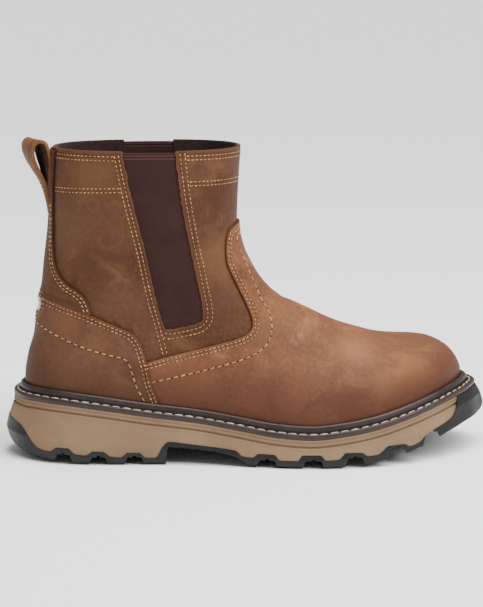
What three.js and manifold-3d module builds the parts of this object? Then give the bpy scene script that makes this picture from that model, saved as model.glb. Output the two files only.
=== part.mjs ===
// Safety boot for the right foot: a pull-on boot with a gore at each side, on a stitched welt.
// Lengths are in mm. +X points to the toe, +Y to the medial side and +Z up; the floor is z = 0.
import * as THREE from "three";
import { mergeVertices } from "three/addons/utils/BufferGeometryUtils.js";
import Module from "manifold-3d";

const wasm = await Module();
wasm.setup();

// Overall sizes.
const weltLength = 302;
const weltWidth = 112;
const toeSwing = 8; // how far the toe's tip lies to the medial side of the heel's middle
const heelHeight = 39.4; // top of the midsole above the floor, under the heel
const toeCapHeight = 71.8; // top of the upper over the toes
const instepHeight = 98.5; // top of the upper at the bend of the instep
const collarHeight = 199;
const collarWidth = 86;

// Leather.
const wall = 2.6;
const overlayThickness = 1.4;
const goreThickness = 1.6;
const goreRecess = 0.5; // the gore's face below the leather's face
const clearance = 0.3;
const overlayRise = clearance + overlayThickness;

// Welt: how far its rim stands out from the upper, its rim and its storm ridge.
const weltReachHeel = 7;
const weltReachSide = 6.5;
const weltReachToe = 9.6;
const weltThickness = 3.2;
const ridgeRise = 4.5;
const ridgeWidth = 3;

// Insole.
const insoleThickness = 5;

// Outsole.
const lugDepth = 5.5;
const lugSlope = 2; // how much further a gap between lugs opens at the floor, each side
const treadSpine = 9; // half width of the middle land that joins the lugs
const skinOverGap = 3.3; // rubber left over each gap between lugs

// Pull loop.
const loopWidth = 22;
const loopStrap = 2.6;
const loopTop = 204.8;
const loopFoot = 160;
const loopReach = 13.8; // how far the strap stands out behind the shaft

// Reflector in the counter's window.
const reflectorHalfWidth = 12;
const reflectorHeight = 8;
const reflectorDrop = 8; // from the counter's top edge down to the reflector
const reflectorThickness = 0.8;

// Facets: points round the upper's rings and round the sole's rings.
const upperFacets = 38;
const soleFacets = 48;

// Plan of the welt: share of its length from the heel, half widths as shares of its width.
const planRows = [
  { along: 0.02, lateral: 0.165, medial: 0.165 },
  { along: 0.06, lateral: 0.265, medial: 0.262 },
  { along: 0.12, lateral: 0.332, medial: 0.325 },
  { along: 0.2, lateral: 0.355, medial: 0.345 },
  { along: 0.3, lateral: 0.364, medial: 0.336 },
  { along: 0.4, lateral: 0.389, medial: 0.328 },
  { along: 0.5, lateral: 0.444, medial: 0.355 },
  { along: 0.58, lateral: 0.485, medial: 0.404 },
  { along: 0.65, lateral: 0.5, medial: 0.458 },
  { along: 0.72, lateral: 0.49, medial: 0.492 },
  { along: 0.79, lateral: 0.45, medial: 0.5 },
  { along: 0.86, lateral: 0.37, medial: 0.476 },
  { along: 0.92, lateral: 0.262, medial: 0.412 },
  { along: 0.965, lateral: 0.132, medial: 0.314 },
  { along: 0.99, lateral: 0.012, medial: 0.205 },
];

// Top of the midsole, which the welt, upper and insole rest on: heights as shares of heelHeight.
const topRows = [
  { along: -0.05, height: 1.0 },
  { along: 0.04, height: 1.005 },
  { along: 0.1, height: 0.985 },
  { along: 0.185, height: 0.907 },
  { along: 0.29, height: 0.785 },
  { along: 0.385, height: 0.7 },
  { along: 0.48, height: 0.588 },
  { along: 0.553, height: 0.5 },
  { along: 0.626, height: 0.466 },
  { along: 0.694, height: 0.516 },
  { along: 0.763, height: 0.604 },
  { along: 0.833, height: 0.735 },
  { along: 0.891, height: 0.86 },
  { along: 0.94, height: 0.955 },
  { along: 1.0, height: 1.02 },
  { along: 1.06, height: 1.04 },
];

// Profiles of the upper seen from the side: forward is a share of its length from the heel.
// Level counts heights: 0 at the welt's ridge, 1 toe cap, 2 instep, 3 collar.
const frontRows = [
  { level: 0, forward: 1.0 },
  { level: 0.2, forward: 0.998 },
  { level: 0.4, forward: 0.991 },
  { level: 0.62, forward: 0.979 },
  { level: 0.79, forward: 0.959 },
  { level: 0.93, forward: 0.93 },
  { level: 0.98, forward: 0.898 },
  { level: 1.0, forward: 0.862 },
  { level: 1.06, forward: 0.813 },
  { level: 1.17, forward: 0.77 },
  { level: 1.3, forward: 0.729 },
  { level: 1.49, forward: 0.687 },
  { level: 1.79, forward: 0.629 },
  { level: 2.0, forward: 0.583 },
  { level: 2.06, forward: 0.556 },
  { level: 2.15, forward: 0.528 },
  { level: 2.25, forward: 0.508 },
  { level: 2.34, forward: 0.493 },
  { level: 2.5, forward: 0.481 },
  { level: 2.74, forward: 0.485 },
  { level: 3.0, forward: 0.4905 },
];
const backRows = [
  { level: 0, forward: 0.0 },
  { level: 0.38, forward: 0.0025 },
  { level: 0.77, forward: 0.0089 },
  { level: 1.28, forward: 0.0225 },
  { level: 2.0, forward: 0.031 },
  { level: 2.13, forward: 0.041 },
  { level: 2.27, forward: 0.0478 },
  { level: 2.57, forward: 0.0588 },
  { level: 3.0, forward: 0.0666 },
];

// Half width of the shaft's oval at each level, as a share of the collar's.
const shaftRows = [
  { level: 0, half: 0.8 },
  { level: 1, half: 0.81 },
  { level: 1.6, half: 0.825 },
  { level: 2.1, half: 0.87 },
  { level: 2.35, half: 0.93 },
  { level: 2.6, half: 0.975 },
  { level: 3.0, half: 1.0 },
];

// Rings of the upper: the level of each at the back and at the front.
const ringRows = [
  { back: 0, front: 0 },
  { back: 0.26, front: 0.32 },
  { back: 0.5, front: 0.6 },
  { back: 0.7, front: 0.8 },
  { back: 0.88, front: 0.92 },
  { back: 1.04, front: 0.985 },
  { back: 1.2, front: 1.05 },
  { back: 1.38, front: 1.18 },
  { back: 1.6, front: 1.4 },
  { back: 1.85, front: 1.7 },
  { back: 2.02, front: 1.98 },
  { back: 2.13, front: 2.09 },
  { back: 2.27, front: 2.21 },
  { back: 2.45, front: 2.38 },
  { back: 2.72, front: 2.65 },
  { back: 3.0, front: 3.0 },
];

// Side of the sole from the welt down: drop below the top line in mm, then down as a share
// of what is left to the floor; out is how far the side stands out from the welt's rim.
const soleSideRows = [
  { drop: -2, down: [0, 0, 0], out: [-1.2, -1.2, -1.2] },
  { drop: 1.4, down: [0, 0, 0], out: [-0.5, -0.5, -0.5] },
  { drop: 2.2, down: [0, 0, 0], out: [-1.3, -1.3, -1.3] },
  { drop: 3.9, down: [0, 0, 0], out: [0.1, 0.1, 0.1] },
  { drop: 4.9, down: [0, 0, 0], out: [-1.3, -1.3, -1.3] },
  { drop: 5.8, down: [0, 0, 0], out: [0.6, 0.3, 0.6] },
  { drop: 5.8, down: [0.46, 0.55, 0.14], out: [5.4, 2.2, 5.2] },
  { drop: 5.8, down: [0.84, 0.85, 0.32], out: [0.2, 1.4, 4] },
  { drop: 5.8, down: [0.97, 0.97, 0.6], out: [-7, -0.6, -4] },
  { drop: 5.8, down: [1, 1, 1], out: [-10, -1.6, -12] },
];

// Where the outsole meets the midsole, between the gaps: height as a share of heelHeight.
const splitRows = [
  { along: -0.05, height: 0.9 },
  { along: 0.0, height: 0.73 },
  { along: 0.022, height: 0.5 },
  { along: 0.055, height: 0.325 },
  { along: 0.08, height: 0.275 },
  { along: 0.14, height: 0.212 },
  { along: 0.215, height: 0.162 },
  { along: 0.3, height: 0.14 },
  { along: 0.315, height: 0.33 },
  { along: 0.33, height: 0.4 },
  { along: 0.4, height: 0.345 },
  { along: 0.47, height: 0.26 },
  { along: 0.503, height: 0.228 },
  { along: 0.575, height: 0.158 },
  { along: 0.665, height: 0.162 },
  { along: 0.75, height: 0.235 },
  { along: 0.832, height: 0.35 },
  { along: 0.87, height: 0.44 },
  { along: 0.91, height: 0.59 },
  { along: 0.935, height: 0.71 },
];
const bumperStart = 0.936; // share of the length where rubber fills the toe up to the welt

// Underside of the outsole, seen from the side: heights as shares of heelHeight.
const floorRows = [
  { along: -0.05, height: 0.3 },
  { along: 0.0, height: 0.19 },
  { along: 0.04, height: 0.082 },
  { along: 0.09, height: 0.04 },
  { along: 0.165, height: 0 },
  { along: 0.3225, height: 0 },
  { along: 0.3265, height: 0.29 },
  { along: 0.38, height: 0.25 },
  { along: 0.47, height: 0.13 },
  { along: 0.505, height: 0 },
  { along: 0.665, height: 0 },
  { along: 0.702, height: 0.03 },
  { along: 0.738, height: 0.062 },
  { along: 0.791, height: 0.13 },
  { along: 0.831, height: 0.205 },
  { along: 0.874, height: 0.305 },
  { along: 0.92, height: 0.44 },
  { along: 0.964, height: 0.54 },
  { along: 1.0, height: 0.6 },
  { along: 1.06, height: 0.66 },
];

// Gaps between the lugs: middle as a share of the length, width at the top in mm.
const gapRows = [
  { along: 0.1075, width: 8 },
  { along: 0.1815, width: 8.4 },
  { along: 0.2565, width: 9 },
  { along: 0.5325, width: 9.4 },
  { along: 0.6285, width: 10 },
  { along: 0.7165, width: 9 },
  { along: 0.808, width: 9 },
  { along: 0.885, width: 8 },
];

// Vamp's edge from the ridge of the instep down to the welt: forward share and level.
const vampRows = [
  { forward: 0.45, level: 2.52 },
  { forward: 0.4615, level: 2.48 },
  { forward: 0.459, level: 2.42 },
  { forward: 0.4625, level: 2.3 },
  { forward: 0.484, level: 2.15 },
  { forward: 0.5035, level: 2.01 },
  { forward: 0.511, level: 1.8 },
  { forward: 0.507, level: 1.52 },
  { forward: 0.485, level: 1.31 },
  { forward: 0.422, level: 1.12 },
  { forward: 0.33, level: 0.885 },
];
// Counter's edge from the back centre forward and down to the welt.
const counterRows = [
  { forward: -0.03, level: 2.11 },
  { forward: 0.045, level: 2.06 },
  { forward: 0.128, level: 1.92 },
  { forward: 0.194, level: 1.65 },
  { forward: 0.24, level: 1.4 },
  { forward: 0.256, level: 1.27 },
  { forward: 0.2655, level: 1.1 },
  { forward: 0.277, level: 0.65 },
  { forward: 0.287, level: 0.15 },
  { forward: 0.305, level: -0.6 },
];
// Backstay's edge from the collar down to the counter.
const backstayRows = [
  { forward: 0.0725, level: 3.0 },
  { forward: 0.066, level: 2.7 },
  { forward: 0.064, level: 2.38 },
  { forward: 0.074, level: 2.24 },
  { forward: 0.098, level: 2.155 },
  { forward: 0.126, level: 2.11 },
  { forward: 0.1455, level: 2.05 },
  { forward: 0.1525, level: 1.85 },
];
// Gore's opening: its rear edge and its front edge, from the collar down.
const goreRearRows = [
  { forward: 0.223, level: 3.06 },
  { forward: 0.244, level: 2.73 },
  { forward: 0.274, level: 2.38 },
  { forward: 0.2975, level: 2.07 },
  { forward: 0.313, level: 1.7 },
  { forward: 0.322, level: 1.53 },
];
const goreFrontRows = [
  { forward: 0.342, level: 3.06 },
  { forward: 0.353, level: 2.73 },
  { forward: 0.3705, level: 2.44 },
  { forward: 0.389, level: 2.2 },
  { forward: 0.4025, level: 1.86 },
  { forward: 0.397, level: 1.68 },
  { forward: 0.37, level: 1.57 },
];

// Pull loop in the side view: out is the distance behind the shaft as a share of loopReach,
// beyond the strap's own thickness; up is the height as a share of the loop's.
const loopOuterRows = [
  { out: 0, up: 0 },
  { out: 0.03, up: 0.14 },
  { out: 0.25, up: 0.32 },
  { out: 0.67, up: 0.55 },
  { out: 1, up: 0.8 },
  { out: 0.915, up: 0.95 },
  { out: 0.55, up: 1 },
  { out: 0.087, up: 0.94 },
];
const loopGapRows = [
  { out: 0.015, up: 0.36 },
  { out: 0.35, up: 0.54 },
  { out: 0.71, up: 0.72 },
  { out: 0.785, up: 0.86 },
  { out: 0.595, up: 0.92 },
  { out: 0.26, up: 0.91 },
  { out: 0.022, up: 0.8 },
  { out: -0.007, up: 0.55 },
  { out: 0.015, up: 0.36 },
];

const weltBack = -weltLength / 2;
const upperBack = weltBack + weltReachHeel + overlayRise;
const upperLength = weltLength - weltReachHeel - weltReachToe - 2 * overlayRise;
const ridgeTop = weltThickness + ridgeRise; // of the storm ridge, above the midsole
const featherStart = heelHeight + ridgeTop;
const overrun = 3; // how far cutting solids run past what they cut
const span = weltWidth; // half width of solids that cut right across

// A table read as a smooth curve: the value column at a place in the key column.
function readTable(rows, key, value, at) {
  const last = rows.length - 1;
  const inside = Math.min(Math.max(at, rows[0][key]), rows[last][key]);
  let i = 0;
  while (i < last - 1 && rows[i + 1][key] < inside) i += 1;
  const slope = (a, b) => (rows[b][value] - rows[a][value]) / (rows[b][key] - rows[a][key]);
  const bend = (k) => {
    if (k === 0 || k === last) return slope(Math.max(k - 1, 0), Math.max(k, 1));
    const before = slope(k - 1, k);
    const after = slope(k, k + 1);
    return before * after <= 0 ? 0 : (2 * before * after) / (before + after);
  };
  const step = rows[i + 1][key] - rows[i][key];
  const t = (inside - rows[i][key]) / step;
  const rise = rows[i + 1][value] - rows[i][value];
  const cubic = (2 * t - 3) * t * t;
  return (
    rows[i][value] -
    cubic * rise +
    step * (bend(i) * t * (1 - t) ** 2 - bend(i + 1) * t * t * (1 - t))
  );
}

function smooth(low, high, at) {
  const t = Math.min(Math.max((at - low) / (high - low), 0), 1);
  return t * t * (3 - 2 * t);
}

const mix = (a, b, t) => a + (b - a) * t;

const xAlong = (along) => weltBack + along * weltLength;
const topLine = (x) => heelHeight * readTable(topRows, "along", "height", (x - weltBack) / weltLength);
const xForward = (forward) => upperBack + forward * upperLength;
const frontX = (level) => xForward(readTable(frontRows, "level", "forward", level));
const backX = (level) => xForward(readTable(backRows, "level", "forward", level));

// Heights of the levels, and the level of a height.
const levelHeights = [featherStart, toeCapHeight, instepHeight, collarHeight];
function zLevel(level) {
  const i = Math.min(Math.max(Math.floor(level), 0), 2);
  return mix(levelHeights[i], levelHeights[i + 1], level - i);
}
function levelOf(z) {
  const i = z < levelHeights[1] ? 0 : z < levelHeights[2] ? 1 : 2;
  return i + (z - levelHeights[i]) / (levelHeights[i + 1] - levelHeights[i]);
}

// The welt's plan as a closed curve that starts at the heel and runs along the lateral side.
const planCurve = new THREE.CatmullRomCurve3(
  [
    new THREE.Vector3(weltBack, 0, 0),
    ...planRows.map((row) => new THREE.Vector3(xAlong(row.along), -row.lateral * weltWidth, 0)),
    new THREE.Vector3(-weltBack, toeSwing, 0),
    ...planRows
      .slice()
      .reverse()
      .map((row) => new THREE.Vector3(xAlong(row.along), row.medial * weltWidth, 0)),
  ],
  true,
);

// The plan in count points, each moved out by what reach gives for heel, side and toe.
function footPlan(count, reach) {
  const half = planCurve.getSpacedPoints(4 * count);
  const tip = half.reduce((best, point, i) => (point.x > half[best].x ? i : best), 0);
  const lateral = resample(half.slice(0, tip + 1), count / 2);
  const medial = resample(half.slice(tip), count / 2);
  const points = [...lateral.slice(0, -1), ...medial.slice(0, -1)];
  return points.map((point, i) => {
    const next = points[(i + 1) % count];
    const before = points[(i + count - 1) % count];
    const normal = new THREE.Vector3(next.y - before.y, before.x - next.x, 0).normalize();
    const toe = Math.max(normal.x, 0) ** 2;
    const heel = Math.max(-normal.x, 0) ** 2;
    const move = reach[0] * heel + reach[1] * (1 - heel - toe) + reach[2] * toe;
    return { point: point.clone().addScaledVector(normal, move), toe, heel };
  });
}

// Points at equal steps along a polyline, closer together near its two ends.
function resample(points, steps, crowd = 0) {
  const run = [0];
  for (let i = 1; i < points.length; i += 1) {
    run.push(run[i - 1] + points[i].distanceTo(points[i - 1]));
  }
  const total = run[run.length - 1];
  const found = [];
  let i = 0;
  for (let k = 0; k <= steps; k += 1) {
    const share = k / steps;
    const target = total * (share - (crowd * Math.sin(2 * Math.PI * share)) / (2 * Math.PI));
    while (i < points.length - 2 && run[i + 1] < target) i += 1;
    const t = Math.min(Math.max((target - run[i]) / (run[i + 1] - run[i]), 0), 1);
    found.push(points[i].clone().lerp(points[i + 1], t));
  }
  return found;
}

// Half widths of the upper where it meets the welt, as a function of x for each side.
const featherReach = [
  -weltReachHeel - overlayRise,
  -weltReachSide - overlayRise,
  -weltReachToe - overlayRise,
];
const featherPlan = footPlan(360, featherReach).map((station) => station.point);
const featherSides = [featherPlan.slice(0, 181), [...featherPlan.slice(180), featherPlan[0]].reverse()];
const swing = (x) => toeSwing * smooth(0, 1, (x - upperBack) / upperLength) ** 3; // of the middle line
function featherHalf(side, x) {
  const points = featherSides[side];
  let i = 0;
  while (i < points.length - 2 && points[i + 1].x < x) i += 1;
  const t = Math.min(Math.max((x - points[i].x) / (points[i + 1].x - points[i].x), 0), 1);
  const y = mix(points[i].y, points[i + 1].y, t) - swing(x);
  return Math.max(side === 0 ? -y : y, 0);
}

// Height of the upper's ridge over x, in front of the shaft; behind it the ridge runs on upwards.
const ridgePoints = Array.from({ length: 240 }, (_, i) => {
  const level = (i / 239) * 2.25;
  return { x: frontX(level), z: zLevel(level) };
});
const ridgeSlope = 2;
function ridgeHeight(x) {
  const end = ridgePoints[ridgePoints.length - 1];
  if (x <= end.x) return end.z + ridgeSlope * (end.x - x);
  let i = 0;
  while (i < ridgePoints.length - 2 && ridgePoints[i + 1].x > x) i += 1;
  const t = (x - ridgePoints[i].x) / (ridgePoints[i + 1].x - ridgePoints[i].x || 1);
  return mix(ridgePoints[i].z, ridgePoints[i + 1].z, Math.min(Math.max(t, 0), 1));
}

// Half width of the upper's own face at a place in the side view.
const shaftMiddle = xForward(0.29);
const toeBoxStart = xForward(0.647);
const toeBoxEnd = xForward(0.895);
const cheekBulge = 1.8; // how far the leather swells out just above the welt
const cheekHeight = 45;
function halfWidth(side, x, z) {
  const level = levelOf(z);
  const foot = topLine(x) + ridgeTop;
  const heelShare = Math.min(Math.max((shaftMiddle - x) / (shaftMiddle - backX(level)), 0), 1);
  const shifted = x - (backX(level) - upperBack) * heelShare;
  const climb = Math.max(z - foot, 0);
  const cheek = Math.sin(Math.PI * Math.min(climb / cheekHeight, 1));
  const swell = cheekBulge * cheek * smooth(0, 8, featherHalf(side, x));
  const plan = featherHalf(side, shifted) + swell;
  const oval = (share) => Math.max(1 - share ** 2.3, 0) ** (1 / 2.3);
  const shaft = 0.5 * collarWidth * readTable(shaftRows, "level", "half", level) * oval(heelShare);
  const body = mix(plan, shaft, smooth(0, 1, climb / (zLevel(2.12) - foot)));
  const frontShare = Math.min(Math.max((x - shaftMiddle) / (frontX(level) - shaftMiddle), 0), 1);
  const rise = Math.min(climb / Math.max(ridgeHeight(x) - foot, 1e-6), 1);
  const toeBox = smooth(toeBoxStart, toeBoxEnd, x);
  const arch = Math.max(1 - rise ** mix(2.25, 2.9, toeBox), 0) ** (1 / mix(2, 2.3, toeBox));
  return body * mix(arch, oval(frontShare), smooth(zLevel(1.5), zLevel(2.25), z));
}

// One ring of the upper: from the back along the lateral side to the front, then back.
function upperRing(row) {
  const back = new THREE.Vector2(backX(row.back), zLevel(row.back));
  const front = new THREE.Vector2(frontX(row.front), zLevel(row.front));
  const fade = Math.max(1 - row.back / 1.5, 0) ** 1.3;
  const dense = 160;
  const sides = [0, 1].map((side) => {
    const points = [];
    for (let k = 0; k <= dense; k += 1) {
      const share = (1 - Math.cos((Math.PI * k) / dense)) / 2;
      const x = mix(back.x, front.x, share);
      const z = mix(back.y, front.y, share) + fade * (topLine(x) + ridgeTop - zLevel(0));
      const y = k === 0 || k === dense ? 0 : halfWidth(side, x, z);
      points.push(new THREE.Vector3(x, (side === 0 ? -y : y) + swing(x), z));
    }
    return resample(points, upperFacets / 2, 0.35);
  });
  return [...sides[0].slice(0, -1), ...sides[1].reverse().slice(0, -1)];
}

// A closed skin over rings of equal count, each ring running anticlockwise seen from above.
function skin(rings, capped = true) {
  const count = rings[0].length;
  const indices = [];
  for (let r = 0; r + 1 < rings.length; r += 1) {
    for (let j = 0; j < count; j += 1) {
      const a = r * count + j;
      const b = r * count + ((j + 1) % count);
      indices.push(a, b, b + count, a, b + count, a + count);
    }
  }
  if (capped) {
    const top = (rings.length - 1) * count;
    for (let j = 0; j < count / 2; j += 1) {
      const near = [j, j + 1, count - j - 1, (count - j) % count];
      if (j + 1 < count / 2) {
        indices.push(top + near[0], top + near[1], top + near[2]);
        indices.push(near[2], near[1], near[0]);
      }
      if (j > 0) {
        indices.push(top + near[0], top + near[2], top + near[3]);
        indices.push(near[3], near[2], near[0]);
      }
    }
  }
  const positions = rings.flat().flatMap((point) => [point.x, point.y, point.z]);
  const geometry = new THREE.BufferGeometry();
  geometry.setAttribute("position", new THREE.Float32BufferAttribute(positions, 3));
  geometry.setIndex(indices);
  return geometry;
}

function solidFrom(geometry) {
  const bare = geometry.clone();
  bare.deleteAttribute("normal");
  bare.deleteAttribute("uv");
  const merged = mergeVertices(bare, 1e-4);
  return new wasm.Manifold(
    new wasm.Mesh({
      numProp: 3,
      vertProperties: new Float32Array(merged.attributes.position.array),
      triVerts: new Uint32Array(merged.index.array),
    }),
  );
}

const upperRings = [
  upperRing(ringRows[0]).map((point) => point.clone().setZ(topLine(point.x) - 1)),
  ...ringRows.map(upperRing),
];
const upperSkin = skin(upperRings, false);
upperSkin.computeVertexNormals();
const upperNormals = upperSkin.getAttribute("normal");

// The upper's form as a filled solid, its face moved out by offset and its ends run past by extra.
function form(offset, extra) {
  const last = upperRings.length - 1;
  const moved = upperRings.map((ring, r) =>
    ring.map((point, j) => {
      const normal = new THREE.Vector3().fromBufferAttribute(upperNormals, r * ring.length + j);
      const placed = point.clone().addScaledVector(normal, offset);
      if (r === 0) placed.z = point.z - extra;
      if (r === last) placed.z = point.z + extra;
      return placed;
    }),
  );
  return solidFrom(skin(moved));
}

const shell = (outer, inner) => form(outer, 0).subtract(form(inner, overrun));

// A solid with the given outline in the side view, from y = low to y = high.
function sideSolid(outline, low = -span, high = span) {
  const shape = new THREE.Shape(outline);
  const geometry = new THREE.ExtrudeGeometry(shape, { depth: high - low, bevelEnabled: false });
  geometry.rotateX(Math.PI / 2);
  geometry.translate(0, high, 0);
  return solidFrom(geometry);
}

const sidePoint = (row, dx = 0, dz = 0) =>
  new THREE.Vector2(xForward(row.forward) + dx, zLevel(row.level) + dz);

// Everything below the midsole's top line, moved up by lift.
function belowTopLine(lift) {
  const steps = 32;
  const line = Array.from({ length: steps + 1 }, (_, i) => {
    const x = xAlong(mix(-0.04, 1.05, i / steps));
    return new THREE.Vector2(x, topLine(x) + lift);
  });
  const low = -overrun;
  return sideSolid([
    new THREE.Vector2(line[0].x, low),
    new THREE.Vector2(line[steps].x, low),
    ...line.reverse(),
  ]);
}
const restingOnMidsole = (solid) => solid.subtract(belowTopLine(clearance));

// The opening of a gore, its edges moved in by inset.
function goreOutline(inset) {
  const rear = goreRearRows.map((row) => sidePoint(row, inset, 0));
  const front = goreFrontRows.map((row) => sidePoint(row, -inset, 0));
  rear[rear.length - 1].y += inset;
  front[front.length - 1].y += inset;
  front[front.length - 2].y += inset / 2;
  return [...rear, ...front.reverse()];
}

function makeUpper() {
  return restingOnMidsole(shell(0, -wall).subtract(sideSolid(goreOutline(0))));
}

// What lies behind or below an edge, or in front of it, in the side view.
const corner = (x, z) => new THREE.Vector2(x, z);
const farBack = weltBack - overrun;
const farFront = -weltBack + overrun;
const counterEdge = (dx, dz) => counterRows.map((row) => sidePoint(row, dx, dz));

function makeVamp() {
  const edge = vampRows.map((row) => sidePoint(row));
  const below = counterEdge(clearance, 0).filter((point) => point.y < edge[edge.length - 1].y);
  const outline = [
    ...edge,
    ...below,
    corner(farFront, -overrun),
    corner(farFront, edge[0].y),
  ];
  return restingOnMidsole(shell(overlayRise, clearance).intersect(sideSolid(outline)));
}

function reflectorBox(grow) {
  const top = zLevel(counterRows[0].level) - reflectorDrop + grow;
  const foot = top - reflectorHeight - 2 * grow;
  const front = xForward(0.2);
  const outline = [corner(farBack, foot), corner(front, foot), corner(front, top), corner(farBack, top)];
  return sideSolid(outline, -reflectorHalfWidth - grow, reflectorHalfWidth + grow);
}

function makeCounter() {
  const outline = [...counterEdge(0, 0), corner(farBack, -overrun)];
  const band = shell(overlayRise, clearance).intersect(sideSolid(outline));
  return restingOnMidsole(band.subtract(reflectorBox(clearance)));
}

function makeBackstay() {
  const edge = backstayRows.map((row) => sidePoint(row));
  edge[0].y = collarHeight - 2;
  const seat = counterEdge(0, clearance).filter((point) => point.x < edge[edge.length - 1].x);
  const outline = [corner(farBack, edge[0].y), ...edge, ...seat.reverse(), corner(farBack, zLevel(2.12))];
  return shell(overlayRise, clearance).intersect(sideSolid(outline.reverse()));
}

function makeReflector() {
  return shell(clearance + reflectorThickness, clearance).intersect(reflectorBox(0));
}

function makeGore(low, high) {
  const band = shell(-goreRecess, -goreRecess - goreThickness);
  const outline = goreOutline(clearance);
  return band.intersect(sideSolid(outline, low, high));
}

function makeInsole() {
  const filled = form(-wall - clearance, 0);
  const slab = belowTopLine(clearance + insoleThickness).subtract(belowTopLine(clearance));
  return filled.intersect(slab);
}

// The welt: a rim with a groove for its stitches and a storm ridge against the upper.
function makeWelt() {
  const rim = footPlan(soleFacets, [0, 0, 0]);
  const reach = [-weltReachHeel, -weltReachSide, -weltReachToe];
  const foot = footPlan(soleFacets, reach);
  const inner = footPlan(soleFacets, reach.map((value) => value - 2 * overlayRise));
  const ring = (share, height) =>
    rim.map((station, j) => {
      const place = foot[j].point.clone().lerp(station.point, share);
      return place.setZ(topLine(place.x) + height);
    });
  const ridgeShare = ridgeWidth / weltReachSide;
  const rings = [
    ring(1, -1),
    ring(1, weltThickness),
    ring(ridgeShare + 0.25, weltThickness - 0.8),
    ring(ridgeShare, ridgeTop - 1),
    ring(ridgeShare * 0.6, ridgeTop),
    inner.map((station) => station.point.clone().setZ(topLine(station.point.x) + ridgeTop)),
  ];
  return restingOnMidsole(solidFrom(skin(rings)).subtract(form(overlayRise + clearance, overrun)));
}

// The whole sole below the welt, before it is split into midsole and outsole.
function soleBody() {
  const rings = soleSideRows.map((row) => {
    const plan = footPlan(soleFacets, row.out);
    return plan.map(({ point, heel, toe }) => {
      const top = topLine(point.x) - row.drop;
      const down = row.down[0] * heel + row.down[1] * (1 - heel - toe) + row.down[2] * toe;
      return point.clone().setZ(top * (1 - down));
    });
  });
  return solidFrom(skin(rings.reverse()));
}

const gapMiddle = (gap) => xAlong(gap.along);
const floorLine = (x) => {
  const along = (x - weltBack) / weltLength;
  const next = floorRows.findIndex((row) => row.along >= along);
  const before = floorRows[next - 1];
  const t = (along - before.along) / (floorRows[next].along - before.along);
  return heelHeight * mix(before.height, floorRows[next].height, t);
};
const splitLine = (x) => heelHeight * readTable(splitRows, "along", "height", (x - weltBack) / weltLength);

// Height of the split between midsole and outsole, which rises over each gap between lugs.
function splitOutline(lift) {
  const places = new Set(splitRows.map((row) => xAlong(row.along)));
  gapRows.forEach((gap) => {
    const half = gap.width / 2;
    [-half - 3, -half, half, half + 3].forEach((step) => places.add(gapMiddle(gap) + step));
  });
  const line = [...places]
    .sort((a, b) => a - b)
    .map((x) => {
      const gap = gapRows.find((row) => Math.abs(gapMiddle(row) - x) < row.width / 2 + 0.01);
      const raised = gap ? floorLine(gapMiddle(gap)) + lugDepth + skinOverGap : 0;
      return corner(x, Math.max(splitLine(x), raised) + lift);
    })
    .filter((point) => point.x < xAlong(bumperStart));
  const bumper = xAlong(bumperStart) - lift;
  return [...line, corner(bumper, splitLine(bumper) + lift), corner(bumper, collarHeight)];
}

function makeMidsole(body) {
  const outline = splitOutline(clearance);
  return body
    .intersect(belowTopLine(0))
    .intersect(sideSolid([...outline, corner(farBack, collarHeight)]));
}

function makeOutsole(body) {
  const outline = splitOutline(0);
  const upperCut = sideSolid([...outline, corner(farBack, collarHeight)]);
  const floor = floorRows.map((row) => corner(xAlong(row.along), heelHeight * row.height));
  const ends = [corner(floor[0].x, -overrun), corner(floor[floor.length - 1].x, -overrun)];
  const below = sideSolid([...ends, ...floor.reverse()]);
  const gaps = gapRows.flatMap((gap) => {
    const middle = gapMiddle(gap);
    const base = floorLine(middle);
    const half = gap.width / 2;
    const reach = half + lugSlope * (1 + overrun / lugDepth);
    const outlineOfGap = [
      corner(middle - reach, base - overrun),
      corner(middle + reach, base - overrun),
      corner(middle + half, base + lugDepth),
      corner(middle - half, base + lugDepth),
    ];
    return [sideSolid(outlineOfGap, -span, -treadSpine), sideSolid(outlineOfGap, treadSpine, span)];
  });
  const solid = body.intersect(belowTopLine(0)).subtract(upperCut).subtract(below);
  return gaps.reduce((rest, gap) => rest.subtract(gap), solid);
}

// The pull loop: a strap folded over at the collar and stitched down on the backstay.
function makePullLoop() {
  const seatX = (z) => backX(levelOf(Math.min(z, collarHeight))) - overlayRise - clearance;
  const rise = loopTop - loopFoot;
  const at = (back, up) => corner(seatX(loopFoot + up * rise) - back, loopFoot + up * rise);
  const along = (row) => at(loopStrap + row.out * loopReach, row.up);
  const seatTop = 0.86;
  const outerCurve = new THREE.SplineCurve([...loopOuterRows.map(along), at(0, seatTop)]);
  const gapCurve = new THREE.SplineCurve(loopGapRows.map(along));
  const seat = [0, 0.25, 0.55, seatTop].map((up) => at(-overrun, up));
  const outline = [...seat, ...outerCurve.getPoints(22).reverse()];
  const outer = sideSolid(outline, -loopWidth / 2, loopWidth / 2);
  const gap = sideSolid(gapCurve.getPoints(20));
  return outer.subtract(gap).subtract(form(overlayRise + clearance, overrun));
}

// Materials.
const finish = (color, roughness) => new THREE.MeshStandardMaterial({ color, roughness, metalness: 0 });
const leather = finish(0x7a5638, 0.7);
const vampLeather = finish(0x94634a, 0.6);
const elastic = finish(0x48302c, 0.9);
const weltRubber = finish(0x4a3f3c, 0.75);
const midsoleFoam = finish(0xa38a70, 0.85);
const blackRubber = finish(0x3c3f3e, 0.8);
const insoleBoard = finish(0x3a2e2a, 0.95);
const reflective = finish(0xb5b3b0, 0.4);

const boot = new THREE.Group();

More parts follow.
